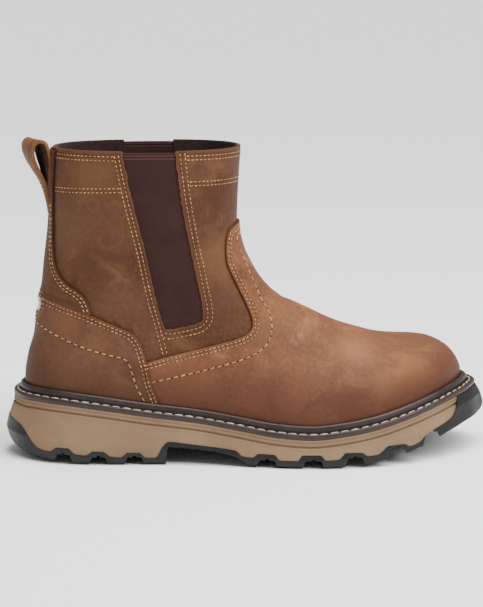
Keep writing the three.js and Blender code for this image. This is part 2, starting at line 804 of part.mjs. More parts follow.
function addPiece(name, solid, material) {
  const mesh = solid.getMesh();
  const geometry = new THREE.BufferGeometry();
  geometry.setAttribute("position", new THREE.BufferAttribute(new Float32Array(mesh.vertProperties), 3));
  geometry.setIndex(new THREE.BufferAttribute(new Uint32Array(mesh.triVerts), 1));
  geometry.computeVertexNormals();
  const piece = new THREE.Mesh(geometry, material);
  piece.name = name;
  boot.add(piece);
}

const sole = soleBody();
addPiece("outsole", makeOutsole(sole), blackRubber);
addPiece("midsole", makeMidsole(sole), midsoleFoam);
addPiece("welt", makeWelt(), weltRubber);
addPiece("insole", makeInsole(), insoleBoard);
addPiece("upper", makeUpper(), leather);
addPiece("vamp", makeVamp(), vampLeather);
addPiece("counter", makeCounter(), vampLeather);
addPiece("backstay", makeBackstay(), leather);
addPiece("heel_reflector", makeReflector(), reflective);
addPiece("gore_lateral", makeGore(-span, 0), elastic);
addPiece("gore_medial", makeGore(0, span), elastic);
addPiece("pull_loop", makePullLoop(), leather);

export default boot;
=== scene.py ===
import math
import random

import bmesh
import bpy
import numpy as np
from mathutils import Matrix, Vector, noise
from mathutils.kdtree import KDTree


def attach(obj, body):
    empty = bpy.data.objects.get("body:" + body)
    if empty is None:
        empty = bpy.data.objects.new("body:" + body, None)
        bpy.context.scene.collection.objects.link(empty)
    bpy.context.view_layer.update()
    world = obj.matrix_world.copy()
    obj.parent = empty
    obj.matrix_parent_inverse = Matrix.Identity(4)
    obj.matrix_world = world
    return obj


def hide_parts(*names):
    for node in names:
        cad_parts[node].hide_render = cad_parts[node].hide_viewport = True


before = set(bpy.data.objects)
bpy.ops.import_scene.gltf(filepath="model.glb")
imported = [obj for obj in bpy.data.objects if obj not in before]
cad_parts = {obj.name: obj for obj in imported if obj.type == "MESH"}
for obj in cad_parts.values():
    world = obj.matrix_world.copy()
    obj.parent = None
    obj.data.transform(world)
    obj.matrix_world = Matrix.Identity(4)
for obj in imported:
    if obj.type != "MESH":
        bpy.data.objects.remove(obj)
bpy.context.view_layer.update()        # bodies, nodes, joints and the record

mm = 0.001

# The boot's own sizes in mm, as the solids have them: +X to the toe, +Y medial, +Z up.
boot = {
    "weltLength": 302, "weltWidth": 112, "toeSwing": 8,
    "heelHeight": 39.4, "toeCapHeight": 71.8, "instepHeight": 98.5,
    "collarHeight": 199, "collarWidth": 86,
    "wall": 2.6, "overlayThickness": 1.4, "clearance": 0.3,
    "weltReach": (7, 6.5, 9.6),       # heel, side and toe
    "ridgeTop": 7.7,                  # of the welt's ridge above the midsole
}
overlayRise = boot["clearance"] + boot["overlayThickness"]
weltBack = -boot["weltLength"] / 2
upperBack = weltBack + boot["weltReach"][0] + overlayRise
upperLength = boot["weltLength"] - boot["weltReach"][0] - boot["weltReach"][2] - 2 * overlayRise
ridgeTop = boot["ridgeTop"]

# Tables of the form; each row is a place and its values.
formTables = {
    # share of the welt's length: lateral and medial half widths as shares of its width
    "plan": [
        (0.02, 0.165, 0.165), (0.06, 0.265, 0.262), (0.12, 0.332, 0.325), (0.2, 0.355, 0.345),
        (0.3, 0.364, 0.336), (0.4, 0.389, 0.328), (0.5, 0.444, 0.355), (0.58, 0.485, 0.404),
        (0.65, 0.5, 0.458), (0.72, 0.49, 0.492), (0.79, 0.45, 0.5), (0.86, 0.37, 0.476),
        (0.92, 0.262, 0.412), (0.965, 0.132, 0.314), (0.99, 0.012, 0.205),
    ],
    # share of the welt's length: height of the midsole's top as a share of heelHeight
    "top": [
        (-0.05, 1.0), (0.04, 1.005), (0.1, 0.985), (0.185, 0.907), (0.29, 0.785), (0.385, 0.7),
        (0.48, 0.588), (0.553, 0.5), (0.626, 0.466), (0.694, 0.516), (0.763, 0.604),
        (0.833, 0.735), (0.891, 0.86), (0.94, 0.955), (1.0, 1.02), (1.06, 1.04),
    ],
    # level: share of the upper's length, at the front and at the back
    "front": [
        (0, 1.0), (0.2, 0.998), (0.4, 0.991), (0.62, 0.979), (0.79, 0.959), (0.93, 0.93),
        (0.98, 0.898), (1.0, 0.862), (1.06, 0.813), (1.17, 0.77), (1.3, 0.729), (1.49, 0.687),
        (1.79, 0.629), (2.0, 0.583), (2.06, 0.556), (2.15, 0.528), (2.25, 0.508),
        (2.34, 0.493), (2.5, 0.481), (2.74, 0.485), (3.0, 0.4905),
    ],
    "back": [
        (0, 0.0), (0.38, 0.0025), (0.77, 0.0089), (1.28, 0.0225), (2.0, 0.031), (2.13, 0.041),
        (2.27, 0.0478), (2.57, 0.0588), (3.0, 0.0666),
    ],
    # level: half width of the shaft's oval as a share of the collar's
    "shaft": [(0, 0.8), (1, 0.81), (1.6, 0.825), (2.1, 0.87), (2.35, 0.93), (2.6, 0.975), (3.0, 1.0)],
    # rings of the upper: level at the back, level at the front
    "rings": [
        (0, 0), (0.26, 0.32), (0.5, 0.6), (0.7, 0.8), (0.88, 0.92), (1.04, 0.985), (1.2, 1.05),
        (1.38, 1.18), (1.6, 1.4), (1.85, 1.7), (2.02, 1.98), (2.13, 2.09), (2.27, 2.21),
        (2.45, 2.38), (2.72, 2.65), (3.0, 3.0),
    ],
}


def curveThrough(pairs):
    # A smooth curve through the rows that never overshoots them.
    xs = np.array([row[0] for row in pairs], float)
    ys = np.array([row[1] for row in pairs], float)
    slope = np.diff(ys) / np.diff(xs)
    bend = np.concatenate([[slope[0]], np.zeros(len(xs) - 2), [slope[-1]]])
    before, after = slope[:-1], slope[1:]
    same = before * after > 0
    bend[1:-1] = np.where(same, 2 * before * after / np.where(same, before + after, 1), 0)

    def at(x):
        x = np.clip(x, xs[0], xs[-1])
        i = np.clip(np.searchsorted(xs, x) - 1, 0, len(xs) - 2)
        step = xs[i + 1] - xs[i]
        t = (x - xs[i]) / step
        rise = ys[i + 1] - ys[i]
        hermite = bend[i] * t * (1 - t) ** 2 - bend[i + 1] * t * t * (1 - t)
        return ys[i] + (3 - 2 * t) * t * t * rise + step * hermite
    return at


def smooth(low, high, at):
    t = np.clip((at - low) / (high - low), 0, 1)
    return t * t * (3 - 2 * t)


def mix(a, b, t):
    return a + (b - a) * t


def splineThrough(knots, steps=40, closed=False):
    # A dense smooth line through the knots, which doesn't swing out where they are close.
    knots = np.array(knots, float)
    if not closed:
        knots = np.vstack([2 * knots[0] - knots[1], knots, 2 * knots[-1] - knots[-2]])
    count = len(knots)
    dense = []
    for i in range(count) if closed else range(1, count - 2):
        p = [knots[(i + k) % count] for k in (-1, 0, 1, 2)]
        step = [max(np.linalg.norm(p[k + 1] - p[k]), 1e-6) ** 0.5 for k in range(3)]
        chord = [(p[k + 1] - p[k]) / step[k] for k in range(3)]
        before = (chord[0] - (p[2] - p[0]) / (step[0] + step[1]) + chord[1]) * step[1]
        after = (chord[1] - (p[3] - p[1]) / (step[1] + step[2]) + chord[2]) * step[1]
        t = np.linspace(0, 1, steps, endpoint=False)[:, None]
        a = 2 * t ** 3 - 3 * t ** 2 + 1
        bends = (t ** 3 - 2 * t ** 2 + t) * before + (t ** 3 - t ** 2) * after
        dense.append(a * p[1] + (1 - a) * p[2] + bends)
    dense = np.vstack(dense)
    return dense if closed else np.vstack([dense, knots[-2:-1]])


def runAlong(points):
    return np.concatenate([[0], np.cumsum(np.linalg.norm(np.diff(points, axis=0), axis=1))])


def pointsAt(points, run, places):
    return np.stack([np.interp(places, run, points[:, k]) for k in range(points.shape[1])], axis=1)


def evenSteps(points, count):
    # count + 1 points at equal steps along a polyline.
    run = runAlong(points)
    return pointsAt(points, run, np.linspace(0, run[-1], count + 1))


def evenLine(points, step=0.3):
    return evenSteps(points, max(int(runAlong(points)[-1] / step), 2))


levelHeights = [boot["heelHeight"] + ridgeTop, boot["toeCapHeight"], boot["instepHeight"], boot["collarHeight"]]


def zLevel(level):
    return np.interp(level, [0, 1, 2, 3], levelHeights)


def levelOf(z):
    return np.interp(z, levelHeights, [0, 1, 2, 3])


topCurve = curveThrough(formTables["top"])
frontCurve = curveThrough(formTables["front"])
backCurve = curveThrough(formTables["back"])
shaftCurve = curveThrough(formTables["shaft"])
ringCurves = [curveThrough([(i, row[k]) for i, row in enumerate(formTables["rings"])]) for k in (0, 1)]


def topLine(x):
    return boot["heelHeight"] * topCurve((x - weltBack) / boot["weltLength"])


def xForward(forward):
    return upperBack + forward * upperLength


def frontX(level):
    return xForward(frontCurve(level))


def backX(level):
    return xForward(backCurve(level))


def swing(x):
    return boot["toeSwing"] * smooth(0, 1, (x - upperBack) / upperLength) ** 3


def planKnots():
    width, length = boot["weltWidth"], boot["weltLength"]
    lateral = [(weltBack + a * length, -lat * width) for a, lat, med in formTables["plan"]]
    medial = [(weltBack + a * length, med * width) for a, lat, med in reversed(formTables["plan"])]
    return [(weltBack, 0), *lateral, (-weltBack, boot["toeSwing"]), *medial]


weltPlan = splineThrough(planKnots(), closed=True)


def footPlan(count, reach):
    # The plan in count points, moved out by reach at the heel, the side and the toe. With
    # several rows of reach it gives that many plans.
    closed = np.vstack([weltPlan, weltPlan[:1]])
    tip = int(np.argmax(closed[:, 0]))
    half = count // 2
    points = np.vstack([evenSteps(closed[:tip + 1], half)[:-1], evenSteps(closed[tip:], half)[:-1]])
    along = np.roll(points, -1, axis=0) - np.roll(points, 1, axis=0)
    normal = np.stack([along[:, 1], -along[:, 0]], axis=1)
    normal /= np.linalg.norm(normal, axis=1, keepdims=True)
    toe = np.clip(normal[:, 0], 0, 1) ** 2
    heel = np.clip(-normal[:, 0], 0, 1) ** 2
    reach = np.asarray(reach, float)
    move = reach[..., 0:1] * heel + reach[..., 1:2] * (1 - heel - toe) + reach[..., 2:3] * toe
    return points + normal * move[..., None], heel, toe


featherPlan = footPlan(720, [-(reach + overlayRise) for reach in boot["weltReach"]])[0]
featherSides = [featherPlan[:361], np.vstack([featherPlan[360:], featherPlan[:1]])[::-1]]


def featherHalf(side, x):
    line = featherSides[side]
    y = np.interp(x, line[:, 0], line[:, 1]) - swing(x)
    return np.maximum(-y if side == 0 else y, 0)


ridgeLevels = np.linspace(0, 2.25, 400)
ridgeX = frontX(ridgeLevels)[::-1]
ridgeZ = zLevel(ridgeLevels)[::-1]


def ridgeHeight(x):
    # Height of the ridge over x; behind the shaft's front it runs on upwards.
    return np.interp(x, ridgeX, ridgeZ) + 2 * np.maximum(ridgeX[0] - x, 0)


shaftMiddle = xForward(0.29)


def oval(share):
    return np.maximum(1 - share ** 2.3, 0) ** (1 / 2.3)


def halfWidth(side, x, z):
    # Half width of the upper's own face at a place in the side view.
    level = levelOf(z)
    foot = topLine(x) + ridgeTop
    heelShare = np.clip((shaftMiddle - x) / (shaftMiddle - backX(level)), 0, 1)
    shifted = x - (backX(level) - upperBack) * heelShare
    climb = np.maximum(z - foot, 0)
    swell = 1.8 * np.sin(np.pi * np.minimum(climb / 45, 1)) * smooth(0, 8, featherHalf(side, x))
    plan = featherHalf(side, shifted) + swell
    shaft = 0.5 * boot["collarWidth"] * shaftCurve(level) * oval(heelShare)
    body = mix(plan, shaft, smooth(0, 1, climb / (zLevel(2.12) - foot)))
    frontShare = np.clip((x - shaftMiddle) / (frontX(level) - shaftMiddle), 0, 1)
    rise = np.minimum(climb / np.maximum(ridgeHeight(x) - foot, 1e-6), 1)
    toeBox = smooth(xForward(0.647), xForward(0.895), x)
    arch = np.maximum(1 - rise ** mix(2.25, 2.9, toeBox), 0) ** (1 / mix(2, 2.3, toeBox))
    return body * mix(arch, oval(frontShare), smooth(zLevel(1.5), zLevel(2.25), z))


# The whole face of the upper as a fine map: rows from the welt to the collar, columns from the
# back along the lateral side to the front, and along the medial side to the back again.
faceMap = {"half": 240, "rows": 160}


def faceRing(turn):
    # turn counts the rings of the table; below 0 it goes down to the midsole.
    climb = max(turn, 0)
    backLevel, frontLevel = float(ringCurves[0](climb)), float(ringCurves[1](climb))
    fade = max(1 - backLevel / 1.5, 0) ** 1.3
    share = (1 - np.cos(np.pi * np.linspace(0, 1, 420))) / 2
    x = mix(backX(backLevel), frontX(frontLevel), share)
    z = mix(zLevel(backLevel), zLevel(frontLevel), share) + fade * (topLine(x) + ridgeTop - zLevel(0))
    sides = []
    for side in (0, 1):
        y = halfWidth(side, x, z)
        y[0] = y[-1] = 0
        line = np.stack([x, (-y if side == 0 else y) + swing(x), z], axis=1)
        line = evenSteps(line, faceMap["half"])
        if turn < 0:
            line[:, 2] = mix(line[:, 2], topLine(line[:, 0]) + boot["clearance"], -turn)
        sides.append(line)
    return np.vstack([sides[0][:-1], sides[1][::-1][:-1]])


def makeFaceMap():
    turns = np.concatenate([[-1, -0.5], np.linspace(0, len(formTables["rings"]) - 1, 181)])
    rings = np.array([faceRing(turn) for turn in turns])
    steps = np.linalg.norm(np.diff(rings, axis=0), axis=2).mean(axis=1)
    run = np.concatenate([[0], np.cumsum(steps)])
    target = np.linspace(0, run[-1], faceMap["rows"])
    i = np.clip(np.searchsorted(run, target) - 1, 0, len(run) - 2)
    t = ((target - run[i]) / (run[i + 1] - run[i]))[:, None, None]
    places = mix(rings[i], rings[i + 1], t)
    around = np.roll(places, -1, axis=1) - np.roll(places, 1, axis=1)
    normals = np.cross(around, np.gradient(places, axis=0))
    normals /= np.linalg.norm(normals, axis=2, keepdims=True)
    return places, normals


def treeOf(points):
    tree = KDTree(len(points))
    for number, point in enumerate(points):
        tree.insert(point, number)
    tree.balance()
    return tree


facePlaces, faceNormals = makeFaceMap()
flatPlaces, flatNormals = facePlaces.reshape(-1, 3), faceNormals.reshape(-1, 3)
faceTree = treeOf(flatPlaces)
print("form of the upper ready", facePlaces.shape)


def faceAt(columns, rows):
    # Places and normals of the face at fractional columns and rows of the map.
    around = 2 * faceMap["half"]
    columns = np.asarray(columns, float) % around
    rows = np.clip(rows, 0, faceMap["rows"] - 1.001)
    c, r = np.floor(columns).astype(int), np.floor(rows).astype(int)
    u, v = (columns - c)[..., None], (rows - r)[..., None]
    c, d = c % around, (c + 1) % around
    places, normals = [mix(mix(g[r, c], g[r, d], u), mix(g[r + 1, c], g[r + 1, d], u), v)
                       for g in (facePlaces, faceNormals)]
    return places, normals / np.linalg.norm(normals, axis=-1, keepdims=True)


def onFace(points):
    # The nearest places on the face, and its normals there.
    places, normals = [], []
    for point in points:
        _, number, _ = faceTree.find(point)
        normal = flatNormals[number]
        places.append(point - np.dot(point - flatPlaces[number], normal) * normal)
        normals.append(normal)
    return np.array(places), np.array(normals)


def faceLine(points, side):
    # A line given in the side view (x, z), put on the lateral (0) or the medial face (1).
    points = np.asarray(points, float)
    y = halfWidth(side, points[:, 0], points[:, 1])
    inside = y > 0
    points, y = points[inside], y[inside]
    return np.stack([points[:, 0], swing(points[:, 0]) + (-y if side == 0 else y), points[:, 1]], axis=1)


# Camera: the photo's angle, fitted to the boot's collar, welt and sole.
camera = {
    "azimuth": -3.0, "elevation": 10.3, "distance": 1200, "target": (-2.5, 0, 96),
    "focalPixels": 1.543 * 1200, "frame": (483, 607), "sensor": 36.0, "right": 1.5,
}


def makeCamera():
    azimuth, elevation = math.radians(camera["azimuth"]), math.radians(camera["elevation"])
    level = math.cos(elevation)
    away = Vector((math.sin(azimuth) * level, -math.cos(azimuth) * level, math.sin(elevation)))
    data = bpy.data.cameras.new("photoCamera")
    data.sensor_fit = "VERTICAL"
    data.sensor_height = camera["sensor"]
    data.lens = camera["focalPixels"] / camera["frame"][1] * camera["sensor"]
    data.clip_start = 0.05
    data.clip_end = 100
    data.shift_x = -camera["right"] / camera["frame"][1]
    item = bpy.data.objects.new("photoCamera", data)
    bpy.context.scene.collection.objects.link(item)
    item.location = (Vector(camera["target"]) + away * camera["distance"]) * mm
    item.rotation_euler = (-away).to_track_quat("-Z", "Y").to_euler()
    bpy.context.scene.camera = item


makeCamera()


# Materials.
def linear(colour):
    # A hex colour as the linear values that the shader takes.
    parts = [int(colour[i:i + 2], 16) / 255 for i in (0, 2, 4)]
    return [p / 12.92 if p <= 0.04045 else ((p + 0.055) / 1.055) ** 2.4 for p in parts] + [1]


class Finish:
    # A material under construction: short calls that add and join its nodes.
    def __init__(self, name, roughness=0.6, **sockets):
        self.material = bpy.data.materials.new(name)
        self.material.use_nodes = True
        self.tree = self.material.node_tree
        self.shader = self.tree.nodes["Principled BSDF"]
        self.shader.inputs["Roughness"].default_value = roughness
        for socket, value in sockets.items():
            self.shader.inputs[socket.replace("_", " ")].default_value = value
        self.place = self.add("ShaderNodeTexCoord").outputs["Object"]

    def add(self, kind, values=None, links=None, **settings):
        node = self.tree.nodes.new(kind)
        for key, value in settings.items():
            setattr(node, key, value)
        for key, value in (values or {}).items():
            node.inputs[key].default_value = value
        for key, link in (links or {}).items():
            self.tree.links.new(link, node.inputs[key])
        return node

    def mapped(self, **values):
        return self.add("ShaderNodeMapping", values, {"Vector": self.place}).outputs[0]

    def noise(self, scale, detail=4, roughness=0.55, distortion=0, at=None):
        values = {"Scale": scale, "Detail": detail, "Roughness": roughness, "Distortion": distortion}
        return self.add("ShaderNodeTexNoise", values, {"Vector": at or self.place}).outputs["Fac"]

    def cells(self, scale, feature="F1", at=None):
        links = {"Vector": at or self.place}
        return self.add("ShaderNodeTexVoronoi", {"Scale": scale}, links, feature=feature).outputs["Distance"]

    def ramp(self, value, low, high, out=(0, 1)):
        values = {"From Min": low, "From Max": high, "To Min": out[0], "To Max": out[1]}
        node = self.add("ShaderNodeMapRange", values, {"Value": value}, interpolation_type="SMOOTHSTEP")
        return node.outputs[0]

    def maths(self, operation, a, b=None):
        node = self.add("ShaderNodeMath", operation=operation)
        for socket, value in zip(node.inputs, (a, b)):
            if isinstance(value, (int, float)):
                socket.default_value = value
            elif value is not None:
                self.tree.links.new(value, socket)
        return node.outputs[0]

    def near(self, place, radius, cloud, amount):
        # How near a place in mm is, with an edge that the cloud breaks up.
        values = {1: [v * mm for v in place]}
        node = self.add("ShaderNodeVectorMath", values, {0: self.place}, operation="DISTANCE")
        share = self.maths("DIVIDE", node.outputs["Value"], radius * mm)
        broken = self.maths("ADD", share, self.ramp(cloud, 0.3, 0.7, (-0.35, 0.35)))
        return self.ramp(broken, 0.15, 1.15, (amount, 0))

    def wave(self, value, pitch):
        return self.maths("SINE", self.maths("MULTIPLY", value, 2 * math.pi / pitch))

    def blend(self, amount, first, second, mode="MIX"):
        node = self.add("ShaderNodeMix", data_type="RGBA", blend_type=mode)
        for socket, value in ((node.inputs[0], amount), (node.inputs[6], first), (node.inputs[7], second)):
            if isinstance(value, str):
                socket.default_value = linear(value)
            elif isinstance(value, (int, float)):
                socket.default_value = value
            else:
                self.tree.links.new(value, socket)
        return node.outputs[2]

    def colour(self, value):
        if isinstance(value, str):
            self.shader.inputs["Base Color"].default_value = linear(value)
        else:
            self.tree.links.new(value, self.shader.inputs["Base Color"])

    def rough(self, value):
        self.tree.links.new(value, self.shader.inputs["Roughness"])

    def bump(self, *layers):
        # Each layer is a height and its depth in mm.
        normal = None
        for height, depth in layers:
            links = {"Height": height}
            if normal:
                links["Normal"] = normal
            normal = self.add("ShaderNodeBump", {"Distance": depth * mm, "Strength": 1}, links).outputs[0]
        self.tree.links.new(normal, self.shader.inputs["Normal"])

    def field(self, name):
        # A number stored on the mesh, such as the distance to the panel's edge in mm.
        return self.add("ShaderNodeAttribute", attribute_name=name).outputs["Fac"]


def leather(name, tones, mottle=1.0, seed=0.0):
    # Oiled leather: cloudy tones, pores and fine creases, rubbed lighter along the edges, with placed patches of
    # tone and painted highlight, painted shade towards the welt and painted shade in the stitch grooves.
    f = Finish(name, Specular_IOR_Level=0.15, Specular_Tint=(1, 0.82, 0.7, 1))
    shifted = f.mapped(Location=(seed, seed * 0.7, 0))
    clouds = f.noise(17, 3, 0.5, 0.4, shifted)
    patches = f.noise(48, 5, 0.62, 0.8, shifted)
    flecks = f.noise(420, 3, 0.6, 0, shifted)
    edge = f.field("edge")
    colour = f.blend(f.ramp(clouds, 0.34, 0.66), tones["dark"], tones["base"])
    colour = f.blend(f.ramp(patches, 0.5, 0.72, (0, 0.5 * mottle)), colour, tones["light"])
    colour = f.blend(f.ramp(patches, 0.42, 0.3, (0, 0.45 * mottle)), colour, tones["deep"])
    colour = f.blend(f.ramp(flecks, 0.35, 0.75, (0, 0.34)), colour, tones["light"])
    # Placed patches of the leather's tone; the lighter ones on the toe cap and the mid-vamp are painted
    # highlights.
    for place, radius, patch, amount in tones["patches"]:
        colour = f.blend(f.near(place, radius, patches, amount), colour, patch)
    # Darker towards the welt: painted shade, and partly the leather's own darker tone low down.
    low = f.ramp(f.field("climb"), 12, 58, (tones["low"], 0))
    colour = f.blend(low, colour, tones["deep"])
    colour = f.blend(f.ramp(edge, 0.1, 1.1, (tones["worn"], 0)), colour, tones["raw"])
    # Darker along the stitch groove 2.7 mm in from the edge: painted shade in the groove.
    stitchGroove = f.maths("ABSOLUTE", f.maths("SUBTRACT", edge, 2.7))
    colour = f.blend(f.ramp(stitchGroove, 0.5, 2.3, (0.3, 0)), colour, tones["deep"])
    f.colour(colour)
    f.rough(f.ramp(patches, 0.3, 0.7, (0.56, 0.7)))
    f.bump((f.ramp(stitchGroove, 0.2, 1.7), 0.28), (f.noise(95, 4, 0.6), 0.35), (f.cells(620), 0.05),
           (f.cells(1500, "SMOOTH_F1"), 0.03), (f.noise(2600, 2), 0.03))
    return f.material


def rawEdge(name, tone, dark):
    # The cut edge of the leather: fibrous, lighter and redder than its face.
    f = Finish(name, roughness=0.85, Specular_IOR_Level=0.2)
    fibres = f.noise(900, 4, 0.7)
    f.colour(f.blend(f.ramp(fibres, 0.35, 0.65), dark, tone))
    f.bump((fibres, 0.12))
    return f.material


def elastic(name):
    # Ribbed elastic, darker between the ribs as painted shade, with woven bands across its top.
    f = Finish(name, roughness=0.85, Specular_IOR_Level=0.1, Sheen_Weight=0.05, Sheen_Roughness=0.6)
    along, height = f.field("rib"), f.field("height")
    ribs = f.maths("ABSOLUTE", f.wave(along, 1.9))
    bands = f.wave(height, 1.9)
    top = f.ramp(height, 192.6, 193.2)
    colour = f.blend(f.ramp(f.noise(60, 4, 0.6), 0.3, 0.7), "2e1a17", "341f1b")
    # Darker in the troughs between the ribs: painted shade.
    colour = f.blend(f.ramp(ribs, 0.2, 0.9, (0.5, 0)), colour, "1a0e0c")
    colour = f.blend(f.maths("MULTIPLY", top, f.ramp(bands, 0, 0.8)), colour, "4a2f2b")
    f.colour(colour)
    f.bump((ribs, 0.16), (f.wave(height, 0.9), 0.05), (f.maths("MULTIPLY", top, bands), 0.12),
           (f.noise(1800, 2), 0.06))
    return f.material


def textile(name):
    f = Finish(name, roughness=0.95, Specular_IOR_Level=0.05, Sheen_Weight=0.06, Sheen_Roughness=0.7)
    knit = f.cells(1100, at=f.mapped(Scale=(1, 1, 0.7)))
    soft = f.noise(120, 4, 0.6)
    colour = f.blend(f.ramp(soft, 0.3, 0.7), "1c1210", "2c1e1b")
    f.colour(f.blend(f.ramp(knit, 0.2, 0.7, (0.5, 0)), colour, "3f2e2a"))
    f.bump((knit, 0.2), (soft, 0.3))
    return f.material


def rubber(name, tone, dark, light, roughness=0.6, dust=0.25):
    f = Finish(name, Specular_IOR_Level=0.3)
    wide, fine = f.noise(70, 5, 0.6), f.noise(900, 3, 0.6)
    colour = f.blend(f.ramp(wide, 0.3, 0.7), dark, tone)
    colour = f.blend(f.ramp(fine, 0.5, 0.75, (0, dust)), colour, light)
    # Near black in the welt's stitch groove: painted shade in the groove.
    f.colour(f.blend(f.ramp(f.field("groove"), 0.1, 0.9, (0, 0.85)), colour, "0c0908"))
    matt = f.ramp(f.field("groove"), 0.1, 0.9, (0, 0.4))
    f.rough(f.maths("ADD", matt, f.ramp(wide, 0.3, 0.7, (roughness - 0.08, roughness + 0.1))))
    f.bump((f.noise(160, 3), 0.08), (f.noise(1700, 2), 0.03))
    return f.material


def foam(name):
    # The midsole's tan foam, with dark dots along its groove and darker troughs between fine ribs: painted shade
    # in these recesses.
    f = Finish(name, roughness=0.78, Specular_IOR_Level=0.3)
    wide, fine = f.noise(40, 4, 0.6), f.noise(1300, 3, 0.6)
    colour = f.blend(f.ramp(wide, 0.3, 0.7), "735b44", "7b644a")
    colour = f.blend(f.ramp(fine, 0.52, 0.7, (0, 0.3)), colour, "624b36")
    # Dark dots along the groove: painted shade in the impressed dots and the groove.
    dots = f.ramp(f.wave(f.field("run"), 1.25), -0.6, 0.6, (0.3, 0.8))
    dark = f.maths("MULTIPLY", f.ramp(f.field("groove"), 0.25, 0.85), dots)
    # Fine ribs in the top 7.6 mm of the side, darker in their troughs: painted shade.
    band = f.ramp(f.field("below"), 8.4, 7.6)
    ribs = f.maths("MULTIPLY", band, f.ramp(f.wave(f.field("below"), 1.15), -0.2, 0.9))
    colour = f.blend(f.maths("MULTIPLY", ribs, 0.3), colour, "5c4734")
    f.colour(f.blend(dark, colour, "4c3b2b"))
    f.bump((dark, -0.15), (ribs, -0.08), (wide, 0.1), (fine, 0.05))
    return f.material


def sewingThread(name, tone, dark):
    f = Finish(name, roughness=0.75, Specular_IOR_Level=0.2, Sheen_Weight=0.05)
    f.colour(f.blend(f.ramp(f.noise(260, 3), 0.35, 0.7), dark, tone))
    f.bump((f.noise(2600, 2, 0.6), 0.1))
    return f.material


def reflective(name):
    f = Finish(name, roughness=0.35, Specular_IOR_Level=0.7, Metallic=0.25)
    beads = f.cells(2400)
    f.colour(f.blend(f.ramp(beads, 0.1, 0.6), "c9c8c6", "9b9996"))
    f.bump((beads, 0.05), (f.noise(120), 0.1))
    return f.material


shaftTones = {
    "base": "4d3122", "dark": "41271b", "light": "62442f", "deep": "321d15", "raw": "5e3820",
    # low: how strongly painted shade darkens the leather towards the welt; worn: how much the edges are rubbed
    # lighter
    "low": 0, "worn": 0.3,
    # soft patches of tone and painted highlight: place in mm, radius, colour and amount
    "patches": [
        ((-112, -24, 150), 24, "573e2a", 0.6), ((-96, -38, 128), 20, "3c2419", 0.5),
        ((-100, -36, 184), 20, "66482e", 0.45), ((-24, -30, 168), 20, "3d2219", 0.55),
        ((-16, -26, 130), 22, "6a4b31", 0.5), ((-26, -36, 105), 18, "4a2d1e", 0.5),
        ((-80, -40, 104), 20, "60422c", 0.35), ((-36, -34, 190), 16, "5e402c", 0.1),
        ((-104, 32, 140), 24, "3c2419", 0.5), ((-26, 30, 150), 22, "61432e", 0.5),
    ],
}
vampTones = {
    "base": "6f472f", "dark": "5d3927", "light": "895e43", "deep": "462a21", "raw": "643a20",
    "low": 0.75, "worn": 0.45,
    # the light patches on the toe cap and the mid-vamp are painted highlights
    "patches": [
        ((104, -36, 62), 20, "a1683f", 0.6), ((86, -40, 52), 16, "a8714a", 0.4),
        ((70, -30, 72), 18, "9c6c4c", 0.45), ((34, -36, 78), 16, "523326", 0.55),
        ((10, -48, 56), 18, "452b20", 0.5), ((62, -52, 44), 20, "4a2c20", 0.45),
        ((18, -28, 98), 14, "94664a", 0.15), ((56, -8, 84), 22, "5c3c2c", 0.35),
        ((4, -42, 80), 22, "593a27", 0.6),
        ((-34, -44, 50), 18, "7c5033", 0.5), ((100, 34, 62), 22, "9a663f", 0.5),
        ((30, 36, 74), 18, "523326", 0.5),
    ],
}
heelTones = {
    "base": "573b2b", "dark": "492e21", "light": "6c4d35", "deep": "3a231b", "raw": "643a20",
    "low": 0.4, "worn": 0.45,
    "patches": [
        ((-96, -40, 78), 16, "7a5236", 0.3), ((-120, -30, 92), 14, "6e4a31", 0.5),
        ((-118, -34, 60), 16, "63442f", 0.4), ((-78, -42, 56), 14, "412619", 0.45),
        ((-110, 34, 72), 20, "744d33", 0.5),
    ],
}
strapTones = {
    "base": "6a4a30", "dark": "553a26", "light": "836045", "deep": "3f2a1c", "raw": "6a4226",
    "low": 0, "worn": 0.3, "patches": [],
}
finishes = {
    "shaft": leather("shaftLeather", shaftTones, 1.2),
    "vamp": leather("vampLeather", vampTones, 1.4, 3.1),
    "heel": leather("heelLeather", heelTones, 1.1, 5.3),
    "strap": leather("strapLeather", strapTones, 0.8, 1.7),
    # The strap's inner face: its flesh side, made darker partly as painted shade.
    "strapBack": rawEdge("strapBack", "3f2a1c", "281a12"),
    "raw": rawEdge("rawEdge", "5a331d", "3a2012"),
    "rawDark": rawEdge("rawEdgeDark", "33211a", "1e120c"),
    "gore": elastic("goreElastic"),
    "lining": textile("liningTextile"),
    "welt": rubber("weltRubber", "302421", "251c19", "4a3b35", 0.4, 0.3),
    "outsole": rubber("outsoleRubber", "100f0f", "0b0b0b", "1e1d1d", 0.5, 0.3),
    "midsole": foam("midsoleFoam"),
    "thread": sewingThread("thread", "c09260", "86603a"),
    # Needle holes: near-black discs painted as the shade in the holes.
    "holeShade": rawEdge("needleHoleShade", "1a0f09", "100906"),
    "weltThread": sewingThread("weltThread", "d0baa3", "9a8169"),
    "reflector": reflective("reflector"),
}
print("finishes ready")


# Common ways of making a piece.
def finishPiece(name, bm, materials, nodes=(), sharp=None):
    # The bmesh is in mm; the piece's object stays at the origin.
    bmesh.ops.scale(bm, vec=(mm, mm, mm), verts=bm.verts)
    mesh = bpy.data.meshes.new(name)
    bm.to_mesh(mesh)
    bm.free()
    mesh.shade_smooth()
    if sharp:
        mesh.set_sharp_from_angle(angle=math.radians(sharp))
    for material in materials:
        mesh.materials.append(finishes[material])
    piece = bpy.data.objects.new(name, mesh)
    bpy.context.scene.collection.objects.link(piece)
    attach(piece, "root")
    if nodes:
        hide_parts(*nodes)
    print("made", name, len(mesh.polygons))
    return piece


